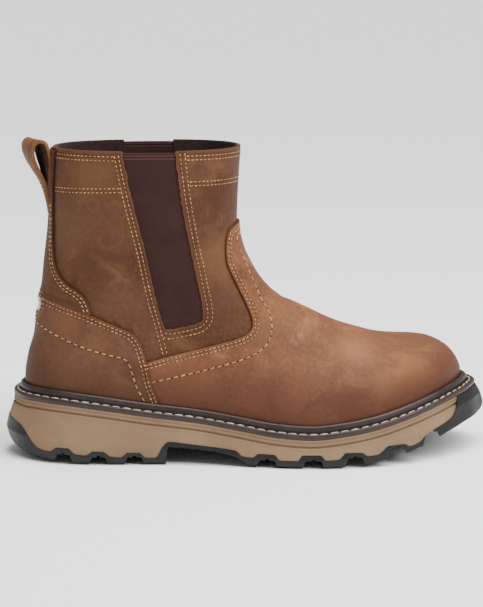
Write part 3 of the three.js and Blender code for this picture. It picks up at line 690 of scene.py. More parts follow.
def thicken(piece, thickness, rim=0, inner=0, bevel=0.4):
    solid = piece.modifiers.new("thickness", "SOLIDIFY")
    solid.thickness = thickness * mm
    solid.offset = -1
    solid.material_offset_rim = rim
    solid.material_offset = inner
    if bevel:
        edge = piece.modifiers.new("edges", "BEVEL")
        edge.width = bevel * mm
        edge.segments = 2
        edge.limit_method = "ANGLE"
        edge.angle_limit = math.radians(50)


def gridSheet(places, closed=False):
    # A sheet of quads over an array of places, rows by columns.
    rows, columns = places.shape[:2]
    bm = bmesh.new()
    bmesh.ops.create_grid(bm, x_segments=columns - 1, y_segments=rows - 1, size=1)
    for vert, place in zip(bm.verts, places.reshape(-1, 3)):
        vert.co = place
    if closed:
        bmesh.ops.remove_doubles(bm, verts=bm.verts, dist=1e-4)
        bmesh.ops.recalc_face_normals(bm, faces=bm.faces)
    return bm


def insideOutline(points, outline):
    inside = np.zeros(len(points), bool)
    for a, b in zip(outline, np.roll(outline, -1, axis=0)):
        if a[1] == b[1]:
            continue
        cross = (a[1] > points[:, 1]) != (b[1] > points[:, 1])
        inside ^= cross & (points[:, 0] < (b[0] - a[0]) * (points[:, 1] - a[1]) / (b[1] - a[1]) + a[0])
    return inside


def facePatch(columns, rows, cells, keep, edges):
    # Part of the face as a fine grid, cut along its edges: keep says which cells stay, and the
    # border is drawn onto the edge lines. The mesh stores its distance to the nearest edge.
    u, v = np.linspace(*columns, cells[0] + 1), np.linspace(*rows, cells[1] + 1)
    places, _ = faceAt(*np.meshgrid(u, v))
    bm = gridSheet(places)
    if columns[1] - columns[0] >= 2 * faceMap["half"]:
        bmesh.ops.remove_doubles(bm, verts=bm.verts, dist=1e-4)
    centres = np.array([face.calc_center_median() for face in bm.faces])
    kept = keep(centres)
    bmesh.ops.delete(bm, geom=[f for f, k in zip(bm.faces, kept) if not k], context="FACES")
    tree = treeOf(edges)
    for step in range(3):
        rim = {vert for edge in bm.edges if edge.is_boundary for vert in edge.verts}
        onEdge = {}
        for vert in rim:
            spot, _, distance = tree.find(vert.co)
            if distance < 2.6:
                onEdge[vert] = spot
        if step:
            moved = {}
            for vert in onEdge:
                pair = [e.other_vert(vert) for e in vert.link_edges if e.is_boundary]
                if len(pair) == 2 and all(other in onEdge for other in pair):
                    moved[vert] = (pair[0].co + pair[1].co) * 0.25 + vert.co * 0.5
            for vert, place in moved.items():
                onEdge[vert] = tree.find(place)[0]
        for vert, spot in onEdge.items():
            vert.co = spot
        near = {o for vert in onEdge for e in vert.link_edges for o in e.verts} - rim
        near |= {o for vert in near for e in vert.link_edges for o in e.verts} - rim
        for _ in range(2):
            bmesh.ops.smooth_vert(bm, verts=list(near), factor=0.5,
                                  use_axis_x=True, use_axis_y=True, use_axis_z=True)
    bmesh.ops.dissolve_degenerate(bm, edges=bm.edges, dist=0.12)
    edge, climb = bm.verts.layers.float.new("edge"), bm.verts.layers.float.new("climb")
    for vert in bm.verts:
        vert[edge] = tree.find(vert.co)[2]
        vert[climb] = vert.co.z - float(topLine(vert.co.x))
    return bm


# Soft creases of the upper: strokes in the side view, with depth and width in mm.
creases = [
    {"side": 0, "line": [(28, 88), (20, 78), (16, 66)], "depth": -0.5, "width": 5.0},
    {"side": 0, "line": [(42, 82), (36, 72), (34, 60)], "depth": 0.5, "width": 7.0},
    {"side": 0, "line": [(58, 74), (50, 62), (48, 50)], "depth": -0.35, "width": 6.0},
    {"side": 0, "line": [(-10, 128), (-22, 120), (-30, 108)], "depth": -0.5, "width": 5.0},
    {"side": 0, "line": [(-108, 150), (-96, 138), (-84, 132)], "depth": -0.5, "width": 8.0},
    {"side": 0, "line": [(-118, 118), (-100, 120), (-84, 112)], "depth": 0.5, "width": 8.0},
    {"side": 0, "line": [(-20, 165), (-16, 150), (-20, 135)], "depth": 0.5, "width": 7.0},
    {"side": 1, "line": [(30, 88), (22, 76), (18, 64)], "depth": -0.5, "width": 5.0},
    {"side": 1, "line": [(48, 80), (40, 70), (36, 58)], "depth": 0.45, "width": 7.0},
    {"side": 1, "line": [(-112, 140), (-98, 134), (-84, 138)], "depth": -0.5, "width": 8.0},
]
for crease in creases:
    crease["spots"] = evenLine(faceLine(splineThrough(crease["line"], 60), crease["side"]), 3.0)


def softLift(points):
    # How far the leather's face stands off the last at each place: creases and a slight waviness.
    lift = np.zeros(len(points))
    for crease in creases:
        near = np.full(len(points), 1e9)
        for spot in crease["spots"]:
            near = np.minimum(near, ((points - spot) ** 2).sum(axis=1))
        lift += crease["depth"] * np.exp(-near / crease["width"] ** 2)
    waves = [noise.noise(Vector(p) / 26 + Vector((3.1, 0.4, 7.7))) for p in points]
    return lift + 0.45 * np.array(waves)


def liftPatch(bm, rise):
    # Moves a patch out from the face by rise, in mm, along with the leather's soft lift.
    points = np.array([vert.co for vert in bm.verts])
    _, normals = onFace(points)
    for vert, place in zip(bm.verts, points + normals * (softLift(points) + rise)[:, None]):
        vert.co = place


# Edges of the panels in the side view (x, z), the same on both sides.
seams = {
    "vamp": [(0, 152), (-6, 151), (-13, 147.3), (-15.2, 141), (-14.4, 127.5), (-8.2, 112.3), (-2.2, 99.8),
             (0.9, 92.3), (1.5, 86), (-1.8, 81.7), (-8, 79.3), (-24, 75.2), (-50, 69), (-67, 64.6)],
    "vampBold": [(-4, 146.5), (-8.4, 142), (-7.4, 136), (-1.4, 121), (7, 102), (12, 93.5), (14, 84),
                 (11.5, 76), (3, 69.5), (-17, 63), (-46, 56), (-63, 52.2)],
    "counter": [(-152, 109.6), (-137, 106.5), (-125, 103), (-106.5, 97.5), (-88, 90), (-77, 85.2),
                (-72, 81.6), (-69.3, 77.5), (-67.6, 73), (-65, 64), (-62, 51), (-58.5, 41.5), (-54, 28)],
    "counterBold": [(-152, 94), (-140, 90), (-134, 87), (-119, 80), (-100.6, 73), (-85, 69),
                    (-79, 67.2), (-76.6, 64.6), (-75, 60), (-71.4, 49), (-67, 40), (-63, 30)],
    "backstay": [(-119.8, 205), (-120.1, 199), (-121.1, 185), (-121.9, 169), (-122.5, 150), (-122.4, 136.7),
                 (-120.6, 124), (-114.7, 114.9), (-107.5, 110.2), (-103, 105.8), (-100.8, 101), (-99.3, 94)],
    "goreRear": [(-81, 212), (-79, 198), (-74, 172), (-65.5, 137), (-59, 106), (-54.4, 89.2)],
    "goreFoot": [(-53.4, 86.6), (-51, 86), (-39, 88), (-34, 89.2)],
    "goreFront": [(-30.6, 91.2), (-29.4, 94.4), (-33.4, 119), (-38.5, 143), (-43.5, 172), (-46.5, 198),
                  (-48, 212)],
    "bridge": [(-53.2, 84), (-52, 79.5), (-49.8, 70.6)],
}
lines = {name: splineThrough(points, 60) for name, points in seams.items()}
goreOutline = splineThrough(seams["goreRear"] + seams["goreFoot"] + seams["goreFront"], 60)
window = {"half": 12, "foot": 93.5, "corner": 5, "tongue": 102.4, "gap": 0.35}


def backPlace(y, z):
    # The place on the back of the face at that y and z.
    x = np.linspace(float(backX(levelOf(z))), -60, 1500)
    half = halfWidth(0 if y < 0 else 1, x, np.full_like(x, z))
    return np.array([np.interp(abs(y), half, x), y, z])


def acrossBack(low, high, z):
    return np.array([backPlace(y, z) for y in np.arange(low, high, 0.3)])


def windowLine(grow=0.0, top=111):
    # The notch in the counter's top edge over the reflector.
    half, foot, corner = window["half"] + grow, window["foot"] - grow, window["corner"] + grow
    points = [(-half, top), (-half, foot + corner)]
    for angle in np.linspace(0, math.pi / 2, 7)[1:]:
        points.append((-half + corner * (1 - math.cos(angle)), foot + corner * (1 - math.sin(angle))))
    points += [(-y, z) for y, z in reversed(points)]
    return evenLine(np.array([backPlace(y, z) for y, z in evenLine(np.array(points), 0.5)]))


def inWindow(points, grow=0.0):
    half, foot, corner = window["half"] + grow, window["foot"] - grow, window["corner"] + grow
    y, z = np.abs(points[:, 1]), points[:, 2]
    dy, dz = np.maximum(y - (half - corner), 0), np.maximum(foot + corner - z, 0)
    return (points[:, 0] < -100) & (dy ** 2 + dz ** 2 < corner ** 2) & (y < half)


def acrossMiddle(line):
    # A line that starts at the ridge or the back, on both sides, as one line from lateral to medial.
    return evenLine(np.vstack([faceLine(line, 0)[::-1], faceLine(line, 1)]))


vampEdge, counterEdge = acrossMiddle(lines["vamp"]), acrossMiddle(lines["counter"])


def sideView(points):
    return points[:, [0, 2]]


# Vamp: the front's leather, over the shaft from the instep down to the welt.
def makeVamp():
    edge = lines["vamp"]
    front = lines["counter"] + (0.3, 0)
    front = front[(front[:, 1] < edge[-1][1]) & (front[:, 0] > -90)]
    outline = np.vstack([edge, front, [(-54, 0), (170, 0), (170, 152)]])
    edges = np.vstack([vampEdge, *[evenLine(faceLine(front, side)) for side in (0, 1)]])
    bm = facePatch((50, 430), (0, 140), (300, 105), lambda c: insideOutline(sideView(c), outline), edges)
    tree, edge = treeOf(vampEdge), bm.verts.layers.float["edge"]
    for vert in bm.verts:
        vert[edge] = tree.find(vert.co)[2]
    liftPatch(bm, overlayRise)
    piece = finishPiece("vampLeather", bm, ["vamp", "raw"], ["vamp"])
    thicken(piece, boot["overlayThickness"], rim=1)


# Counter: the leather round the heel, with a notch over the reflector.
def makeCounter():
    outline = np.vstack([lines["counter"], [(-54, 0), (-170, 0), (-170, 109.6)]])

    def keep(c):
        return insideOutline(sideView(c), outline) & ~inWindow(c)
    bm = facePatch((330, 630), (0, 110), (250, 90), keep, np.vstack([counterEdge, windowLine()]))
    liftPatch(bm, overlayRise + 0.1)
    piece = finishPiece("counterLeather", bm, ["heel", "raw"], ["counter"])
    thicken(piece, boot["overlayThickness"], rim=1)


# Backstay: the strip up the back, which widens over the counter and has a tongue in its notch.
def makeBackstay():
    tongue, tip, top = window["half"] - window["gap"], window["tongue"], 197.5
    seat = lines["counter"] + (0, 0.35)
    seat = seat[seat[:, 0] < -99.6]
    side = lines["backstay"]
    side = side[(side[:, 1] <= top) & (side[:, 1] > seat[-1][1])]
    outline = np.vstack([[(-170, top)], side, seat[::-1], [(-170, 110)]])

    def keep(c):
        inTongue = (np.abs(c[:, 1]) < tongue) & (c[:, 2] > tip) & (c[:, 2] < 120) & (c[:, 0] < -100)
        return insideOutline(sideView(c), outline) | inTongue
    foot = acrossMiddle(seat)
    foot = foot[np.abs(foot[:, 1]) > tongue]
    legs = [np.array([backPlace(y, z) for z in np.arange(tip, 110, 0.3)]) for y in (-tongue, tongue)]
    sides = [evenLine(faceLine(lines["backstay"], k)) for k in (0, 1)]
    edges = np.vstack([*sides, foot, *legs, acrossBack(-tongue, tongue, tip), acrossBack(-22, 22, top)])
    bm = facePatch((405, 555), (45, 159), (150, 120), keep, edges)
    liftPatch(bm, overlayRise)
    piece = finishPiece("backstayLeather", bm, ["shaft", "rawDark"], ["backstay"])
    thicken(piece, boot["overlayThickness"], rim=1)


def makeReflector():
    inset, top = 0.25, window["tongue"] - 0.3

    def keep(c):
        return inWindow(c, -inset) & (c[:, 2] < top)
    edges = np.vstack([windowLine(-inset, top), acrossBack(-12, 12, top)])
    bm = facePatch((450, 510), (40, 110), (70, 80), keep, edges)
    liftPatch(bm, boot["clearance"] + 0.8)
    piece = finishPiece("reflectorStrip", bm, ["reflector"], ["heel_reflector"])
    thicken(piece, 0.8, bevel=0.15)


def frayed(line, depth):
    # Roughens a line of the side view, as a cut edge frays.
    line = evenLine(line, 0.4)
    along = np.gradient(line, axis=0)
    across = np.stack([-along[:, 1], along[:, 0]], axis=1) / np.linalg.norm(along, axis=1, keepdims=True)
    rough = [noise.noise(Vector((step * 0.17, 0.5, 0))) + noise.noise(Vector((step * 0.43, 5.5, 0)))
             for step in range(len(line))]
    return line + across * depth * np.array(rough)[:, None]


# Shaft and lining: one hollow wall, open at the collar, at the gores and underneath.
def makeShaft():
    opening = frayed(goreOutline[goreOutline[:, 1] < boot["collarHeight"]], 0.5)
    last = faceMap["rows"] - 1.001
    rim, _ = faceAt(np.arange(0, 480, 0.4), np.full(1200, last))
    rim = rim[~insideOutline(sideView(rim), goreOutline)]
    edges = np.vstack([*[evenLine(faceLine(opening, side)) for side in (0, 1)], rim])
    bm = facePatch((0, 480), (0, last), (320, 118), lambda c: ~insideOutline(sideView(c), goreOutline), edges)
    liftPatch(bm, 0)
    piece = finishPiece("shaftLeather", bm, ["shaft", "raw", "lining"], ["upper"])
    thicken(piece, boot["wall"], rim=1, inner=2, bevel=0.5)


def makeGore(name, side, node):
    centre = goreOutline.mean(axis=0)
    away = goreOutline - centre
    grown = goreOutline + 1.4 * away / np.linalg.norm(away, axis=1)[:, None]
    top = 197.8

    def keep(c):
        return insideOutline(sideView(c), grown) & (c[:, 2] < top)
    rim = faceLine(np.array([(x, top) for x in np.arange(-84, -40, 0.2)]), side)
    edges = np.vstack([evenLine(faceLine(grown[grown[:, 1] < top], side)), rim])
    bm = facePatch((70, 215) if side == 0 else (265, 410), (40, 159), (110, 110), keep, edges)
    rib, height = bm.verts.layers.float.new("rib"), bm.verts.layers.float.new("height")
    for vert in bm.verts:
        vert[rib] = vert.co.x - float(np.interp(vert.co.z, [86, 198], [-41, -62.7]))
        vert[height] = vert.co.z
    liftPatch(bm, -0.9)
    piece = finishPiece(name, bm, ["gore"], [node])
    thicken(piece, 1.2, bevel=0.3)


makeVamp()
makeCounter()
makeBackstay()
makeReflector()
makeShaft()
makeGore("goreLateral", 0, "gore_lateral")
makeGore("goreMedial", 1, "gore_medial")


# Sole: one side profile from the welt to the floor, split into midsole and outsole.
sole = {
    "columns": 900,
    # drop below the top line in mm, down as a share of the rest; out of the rim at heel, side, toe
    "side": [
        (0.0, 0, 0, 0, -0.6, -0.6, -0.6), (0.3, 0, 0, 0, -0.1, -0.1, -0.1), (1.7, 0, 0, 0, 0.1, 0.1, 0.1),
        (1.95, 0, 0, 0, -0.25, -0.25, -0.25), (2.3, 0, 0, 0, -0.25, -0.25, -0.25), (2.6, 0, 0, 0, 0.1, 0.1, 0.1),
        (3.9, 0, 0, 0, 0.3, 0.2, 0.3), (4.3, 0, 0, 0, -0.3, -0.3, -0.3), (5.3, 0, 0, 0, -0.5, -0.5, -0.5),
        (5.6, 0, 0, 0, 0.3, 0.1, 0.3), (6.0, 0, 0, 0, 0.9, 0.5, 0.9),
        (6.0, 0.22, 0.25, 0.06, 3.4, 1.4, 4.4), (6.0, 0.46, 0.55, 0.14, 5.4, 2.2, 5.3),
        (6.0, 0.66, 0.7, 0.2, 3.6, 2.1, 5.6), (6.0, 0.84, 0.85, 0.32, 0.2, 1.6, 2.9),
        (6.0, 0.97, 0.97, 0.6, -7, -0.2, -4), (6.0, 1, 1, 1, -10, -1.2, -12),
    ],
    # where the outsole meets the midsole, in mm: it rises over each gap between the lugs
    "split": [
        (-170, 27), (-154, 25.5), (-149, 24.2), (-145.5, 22.4), (-142, 18.3), (-138.8, 13.2), (-135.5, 9.9),
        (-132, 8.6), (-127.5, 8.2), (-125.4, 9.1), (-122.8, 11.2), (-115.5, 11), (-113.4, 9.4),
        (-111, 7.3), (-104.5, 6.7), (-102.3, 7.6), (-99.8, 9.3), (-93, 9.1), (-91, 7.7), (-88.8, 5.9),
        (-82.2, 5.4), (-80.2, 6.5), (-78, 8.4), (-70.3, 8.4), (-68.6, 7), (-66.2, 5.1), (-60.4, 5),
        (-58.6, 6.6), (-56.8, 10.5), (-54.8, 13.3), (-51.9, 15.4), (-38, 14), (-20, 12.2),
        (-10.5, 11), (-8.5, 10), (-6, 7.7), (0.5, 6.8), (2.1, 7.7), (4.2, 9.3), (14, 9.1), (15.7, 7.9),
        (17.8, 5.5), (29, 5.6), (30.3, 7.1), (32.2, 9), (43, 9), (44.6, 8), (46.5, 5.9), (54.5, 6.3),
        (56.6, 7.8), (59.2, 10.3), (69.4, 10.2), (71, 9.3), (73.2, 7.9), (80, 8.5), (83, 10.5),
        (87, 13.4), (97.3, 13.7), (100.8, 12), (105, 12.8), (108.3, 14.2), (111, 16.7), (113.6, 18.4),
        (118, 20.5), (124, 22.9), (128, 24.7), (130.9, 26.8), (133, 29.4), (134.2, 32), (134.9, 35.5),
        (135.3, 40), (160, 44),
    ],
    "bumperStart": 0.948,
    "floor": [
        (-0.05, 0.3), (0.0, 0.19), (0.04, 0.082), (0.09, 0.04), (0.165, 0), (0.3225, 0),
        (0.3265, 0.31), (0.38, 0.277), (0.43, 0.238), (0.465, 0.185), (0.485, 0.1), (0.505, 0), (0.665, 0), (0.702, 0.03),
        (0.738, 0.062), (0.791, 0.13), (0.831, 0.205), (0.874, 0.305), (0.92, 0.44),
        (0.964, 0.54), (1.0, 0.6), (1.06, 0.66),
    ],
    # gaps between the lugs: middle as a share of the length, width at the top in mm
    "gaps": [
        (0.1075, 8), (0.1815, 8.4), (0.2565, 9), (0.5325, 9.4), (0.6285, 10), (0.7165, 9),
        (0.808, 9), (0.885, 8),
    ],
    "lugDepth": 5.5, "lugSlope": 2, "spine": 9, "skin": 3.3, "lip": 0.35,
}
splitAt = curveThrough(sole["split"])
bumperX = weltBack + sole["bumperStart"] * boot["weltLength"]


def floorAt(x):
    rows = np.array(sole["floor"])
    return boot["heelHeight"] * np.interp((x - weltBack) / boot["weltLength"], rows[:, 0], rows[:, 1])


def soleSideLines(outer=False):
    # Dense lines down the sole's side, one for each column: array of samples, columns and x, y, z.
    # The outer one stands a little proud, and is smooth where the bumper meets the welt.
    rows = np.array(sole["side"])
    if outer:
        rows[:, 4:7] += sole["lip"]
        slant = 0.5 + (rows[:, 0:1] / 6) ** 0.9 * np.array([[2.4, 0.9, 3.5]])
        rows[:, 4:7] = np.where(rows[:, 1:2] == 0, slant, rows[:, 4:7])
    dense = np.linspace(0, len(rows) - 1, 16 * (len(rows) - 1) + 1)
    table = np.stack([np.interp(dense, np.arange(len(rows)), rows[:, k]) for k in range(7)], axis=1)
    plan, heel, toe = footPlan(sole["columns"], table[:, 4:7])
    down = table[:, 1:2] * heel + table[:, 2:3] * (1 - heel - toe) + table[:, 3:4] * toe
    z = (topLine(plan[..., 0]) - table[:, 0:1]) * (1 - down)
    return np.concatenate([plan, z[..., None]], axis=2)


def cutLines(sideLines, high, low, count, crowd=1.0):
    # The part of each column between two heights, in count rows from the top down; crowd
    # above 1 brings the rows closer together at the top.
    columns = []
    for line in sideLines.transpose(1, 0, 2):
        above, below = line[:, 2] - high(line[:, 0]), line[:, 2] - low(line[:, 0])
        start = int(np.argmax(above <= 0)) if (above <= 0).any() else len(line) - 1
        end = int(np.argmax(below <= 0)) if (below <= 0).any() else len(line) - 1
        start, end = max(start - 1, 0), max(end, start + 1)
        kept = line[start:end + 1].copy()
        for first, second, height in ((0, 1, high), (-1, -2, low)):
            a, b = kept[first].copy(), kept[second]
            da, db = a[2] - height(a[0]), b[2] - height(b[0])
            if da * db < 0:
                kept[first] = mix(a, b, da / (da - db))
        run = runAlong(kept)
        columns.append(pointsAt(kept, run, run[-1] * np.linspace(0, 1, count) ** crowd))
    return np.array(columns).transpose(1, 0, 2)


def capRows(ring, height, shares=(0.1, 0.3, 0.55, 0.8, 1)):
    # Rows that close a ring towards its middle line, at a height that depends on x.
    middle = (ring + ring[(-np.arange(len(ring))) % len(ring)]) / 2
    rows = []
    for share in shares:
        row = mix(ring, middle, share)
        row[:, 2] = height(row[:, 0])
        rows.append(row)
    return rows


def closedRings(rings):
    rings = np.array(rings)
    return np.concatenate([rings, rings[:, :1]], axis=1)


def makeMidsole():
    def low(x):
        return np.where(x > bumperX, topLine(x) - 0.8, splitAt(x))
    side = cutLines(soleSideLines(), topLine, low, 66, 1.6)
    rings = [*capRows(side[0], topLine)[::-1], *side, *capRows(side[-1], low)]
    bm = gridSheet(closedRings(rings), closed=True)
    rim = side[10]
    run, tree = runAlong(np.vstack([rim, rim[:1]])), treeOf(rim)
    # groove marks the band of the dotted groove, which the foam darkens as painted shade.
    groove, along, below = [bm.verts.layers.float.new(name) for name in ("groove", "run", "below")]
    for vert in bm.verts:
        vert[along] = run[tree.find(vert.co)[1]]
        drop = float(topLine(vert.co.x)) - vert.co.z
        vert[groove] = float(np.clip(1.3 - abs(drop - 4.8) / 0.7, 0, 1))
        vert[below] = drop
    finishPiece("midsoleFoam", bm, ["midsole"], ["midsole"], sharp=50)


def addBlock(bm, middle, width, slope, sides, heights):
    # A block across the sole that is wider at its foot; its upper edges are rounded.
    block = bmesh.ops.create_cube(bm, size=1)["verts"]
    for vert in block:
        top = vert.co.z > 0
        half = width / 2 + (0 if top else slope)
        vert.co = (middle + math.copysign(half, vert.co.x), sides[int(vert.co.y > 0)], heights[int(top)])
    edges = {e for vert in block for e in vert.link_edges}
    middleHeight = sum(heights) / 2
    upper = [e for e in edges if min(v.co.z for v in e.verts) > middleHeight and
             abs(e.verts[0].co.x - e.verts[1].co.x) < 1e-6]
    bmesh.ops.bevel(bm, geom=upper, offset=min(1.2, width / 4), segments=3, profile=0.5,
                    affect="EDGES", material=-1)


def lugGaps(bm, middles):
    # The gaps between the lugs, on each side of the middle land.
    for middle, (_, width) in zip(middles, sole["gaps"]):
        base = float(floorAt(middle))
        for sign in (-1, 1):
            sides = sorted((sign * sole["spine"], sign * 75))
            addBlock(bm, middle, width, sole["lugSlope"] * 1.6, sides, (base - 3.3, base + sole["lugDepth"]))


def fineTread(bm, middles):
    # A notch at the top of each gap, thin sipes under the lugs, and teeth under the arch.
    for middle in middles:
        top = float(floorAt(middle)) + sole["lugDepth"]
        for sign in (-1, 1):
            addBlock(bm, middle, 1.8, 0.3, sorted((sign * 11, sign * 76)), (top - 1, top + 1.1))
    for first, second in zip(middles, middles[1:]):
        for share in (0.38, 0.62):
            x = first + (second - first) * share
            for sign in (-1, 1):
                outer = float(featherHalf((sign + 1) // 2, x)) - 6
                if second - first < 40:
                    addBlock(bm, x, 1.5, 0.2, sorted((sign * 13, sign * outer)), (-4, float(floorAt(x)) + 1.6))
    for x in (-44, -39, -34, -29, -24):
        for sign in (-1, 1):
            addBlock(bm, x, 2.8, 0.4, sorted((sign * 30, sign * 75)), (-4, float(floorAt(x)) + 0.5))


def cutAway(piece, blocks):
    # Cuts the blocks out of the piece's mesh.
    bm = bmesh.new()
    blocks(bm, [weltBack + along * boot["weltLength"] for along, _ in sole["gaps"]])
    bmesh.ops.recalc_face_normals(bm, faces=bm.faces)
    bmesh.ops.scale(bm, vec=(mm, mm, mm), verts=bm.verts)
    mesh = bpy.data.meshes.new("blocks")
    bm.to_mesh(mesh)
    bm.free()
    item = bpy.data.objects.new("blocks", mesh)
    bpy.context.scene.collection.objects.link(item)
    cut = piece.modifiers.new("cut", "BOOLEAN")
    cut.operation, cut.solver, cut.object = "DIFFERENCE", "MANIFOLD", item
    bpy.context.view_layer.update()
    graph = bpy.context.evaluated_depsgraph_get()
    result = bpy.data.meshes.new_from_object(piece.evaluated_get(graph))
    piece.modifiers.clear()
    piece.data = result
    bpy.data.objects.remove(item)


def makeOutsole():
    def high(x):
        return np.where(x > bumperX, topLine(x) - 0.05, splitAt(x))
    side = cutLines(soleSideLines(outer=True), high, floorAt, 50, 1.2)
    rings = [*capRows(side[0], high)[::-1], *side, *capRows(side[-1], floorAt)]
    bm = gridSheet(closedRings(rings), closed=True)
    piece = finishPiece("outsoleRubber", bm, ["outsole"], ["outsole"])
    cutAway(piece, lugGaps)
    cutAway(piece, fineTread)
    piece.data.shade_smooth()
    piece.data.set_sharp_from_angle(angle=math.radians(25))


# Welt: a rim with a groove for its stitches, and a storm ridge against the upper.
welt = {
    # share of the way from the upper to the rim, height above the midsole in mm
    "section": [
        (0.99, -0.1), (1.02, 0.3), (1.035, 1.0), (1.03, 2.0), (1.0, 2.8), (0.95, 3.2), (0.86, 3.3),
        (0.78, 3.2), (0.74, 2.7), (0.68, 2.4), (0.6, 2.4), (0.55, 2.7), (0.51, 3.4), (0.475, 4.3),
        (0.455, 4.9), (0.44, 5.5), (0.41, 6.6), (0.36, 7.4), (0.28, 7.8), (0.18, 7.8), (0.1, 7.4), (0.04, 6.4),
        (0.03, 0.2),
    ],
}


def weltRing(share, height, count=480):
    foot = footPlan(count, [-reach for reach in boot["weltReach"]])[0]
    plan = mix(foot, footPlan(count, [0, 0, 0])[0], share)
    return np.column_stack([plan, topLine(plan[:, 0]) + height])


def makeWelt():
    rings = [weltRing(share, height) for share, height in welt["section"]]
    bm = gridSheet(closedRings([*rings, rings[0]]), closed=True)
    # groove marks the welt's stitch groove, which the rubber darkens as painted shade.
    tree = treeOf(weltRing(0.52, 3.6, 960))
    layer = bm.verts.layers.float.new("groove")
    for vert in bm.verts:
        vert[layer] = max(0.0, 1.8 - tree.find(vert.co)[2] / 0.9)
    finishPiece("weltRubber", bm, ["welt"], ["welt"])


# Insole: its sock lies on the midsole inside the upper.
def makeInsole():
    places, normals = faceAt(np.arange(0, 480, 2), np.full(240, 4.0))
    base = places - normals * (boot["wall"] + boot["clearance"])
    low, high = boot["clearance"] + 0.1, boot["clearance"] + 5

    def lid(height, dip=0):
        return lambda x: topLine(x) + height - dip
    side = [capRows(base, lid(height), (0,))[0] for height in (low, high - 1, high - 0.3)]
    top = [capRows(base, lid(high, dip), (share,))[0]
           for share, dip in ((0.03, 0), (0.15, 0.2), (0.4, 0.8), (0.7, 1.3), (1, 1.5))]
    bottom = capRows(base, lid(low), (1, 0.3))
    bm = gridSheet(closedRings([*bottom, *side, *top]), closed=True)
    finishPiece("insoleSock", bm, ["lining"], ["insole"])


makeMidsole()
makeOutsole()
makeWelt()
makeInsole()


# Pull loop: a strap folded over at the back of the collar and stitched down on the backstay.
loop = {
    "width": 22, "strap": 2.6, "top": 204.8, "foot": 160, "reach": 13.8, "wrap": 0.012,
    # behind the shaft as a share of reach, up as a share of the loop's height
    "path": [
        (-0.2, -0.07), (-0.13, 0.035), (-0.05, 0.13), (0.05, 0.223), (0.19, 0.337), (0.42, 0.46),
        (0.66, 0.575), (0.86, 0.69), (0.97, 0.81), (0.92, 0.9), (0.74, 0.945), (0.52, 0.93), (0.37, 0.84),
        (0.25, 0.7), (0.15, 0.56), (0.07, 0.42), (0.0, 0.3), (-0.08, 0.2),
    ],
    # turn of the strap about the upright in degrees, from its foot to its end
    "turnAt": (0, 0.12, 0.3, 0.45, 0.6, 0.75, 0.88, 1), "turn": (0, 2, 10, 17, 24, 22, 13, 5),
}


def loopPath():
    knots = []
    for out, up in loop["path"]:
        z = loop["foot"] + up * (loop["top"] - loop["foot"])
        seat = float(backX(levelOf(min(z, boot["collarHeight"])))) - overlayRise - boot["clearance"]
        knots.append((seat - loop["strap"] / 2 - out * loop["reach"], z))
    path = evenSteps(splineThrough(knots), 90)
    along = np.gradient(path, axis=0)
    normal = np.stack([-along[:, 1], along[:, 0]], axis=1)
    normal /= np.linalg.norm(normal, axis=1, keepdims=True)
    turn = np.tan(np.radians(np.interp(np.linspace(0, 1, 91), loop["turnAt"], loop["turn"])))
    return path + normal * loop["strap"] / 2, normal, turn


def loopLine(y, rise=0.0):
    # The line along the strap's outer face at a distance y from its middle.
    path, normal, turn = loopPath()
    path = path + normal * rise
    return np.column_stack([path[:, 0] + loop["wrap"] * y * y - turn * y, np.full(len(path), y), path[:, 1]])


def makePullLoop():
    bm = gridSheet(np.array([loopLine(y) for y in np.linspace(-0.5, 0.5, 17) * loop["width"]]))
    edge, climb = bm.verts.layers.float.new("edge"), bm.verts.layers.float.new("climb")
    for vert in bm.verts:
        vert[edge] = loop["width"] / 2 - abs(vert.co.y)
        vert[climb] = 60
    piece = finishPiece("pullLoopStrap", bm, ["strap", "strap", "strapBack"], ["pull_loop"])
    thicken(piece, loop["strap"], rim=1, inner=2, bevel=0.6)


makePullLoop()


# Stitches: short threads laid along rows beside the edges, with a dark disc of painted shade at the needle
# holes.
stitching = {
    "fine": {"pitch": 2.75, "length": 2.25, "width": 0.64, "depth": 0.34, "holeShade": 0.46, "lean": 0.1},
    "bold": {"pitch": 4.7, "length": 3.6, "width": 0.84, "depth": 0.45, "holeShade": 0.6, "lean": 0.1},
    "welt": {"pitch": 6.6, "length": 6.0, "width": 0.95, "depth": 0.8, "holeShade": 0.9, "lean": 0.07},
}


def offsetRow(line, distance, rise):
    # A row beside a line on the face, to the left of it seen from outside, raised by rise.
    line = evenLine(line, 0.5)
    along = np.gradient(line, axis=0)
    along /= np.linalg.norm(along, axis=1, keepdims=True)
    _, normals = onFace(line)
    row, normals = onFace(line + np.cross(normals, along) * distance)
    keep = np.einsum("ij,ij->i", np.gradient(row, axis=0), along) > 0.05
    row, normals = row[keep], normals[keep]
    return row + normals * (softLift(row) + rise)[:, None], normals


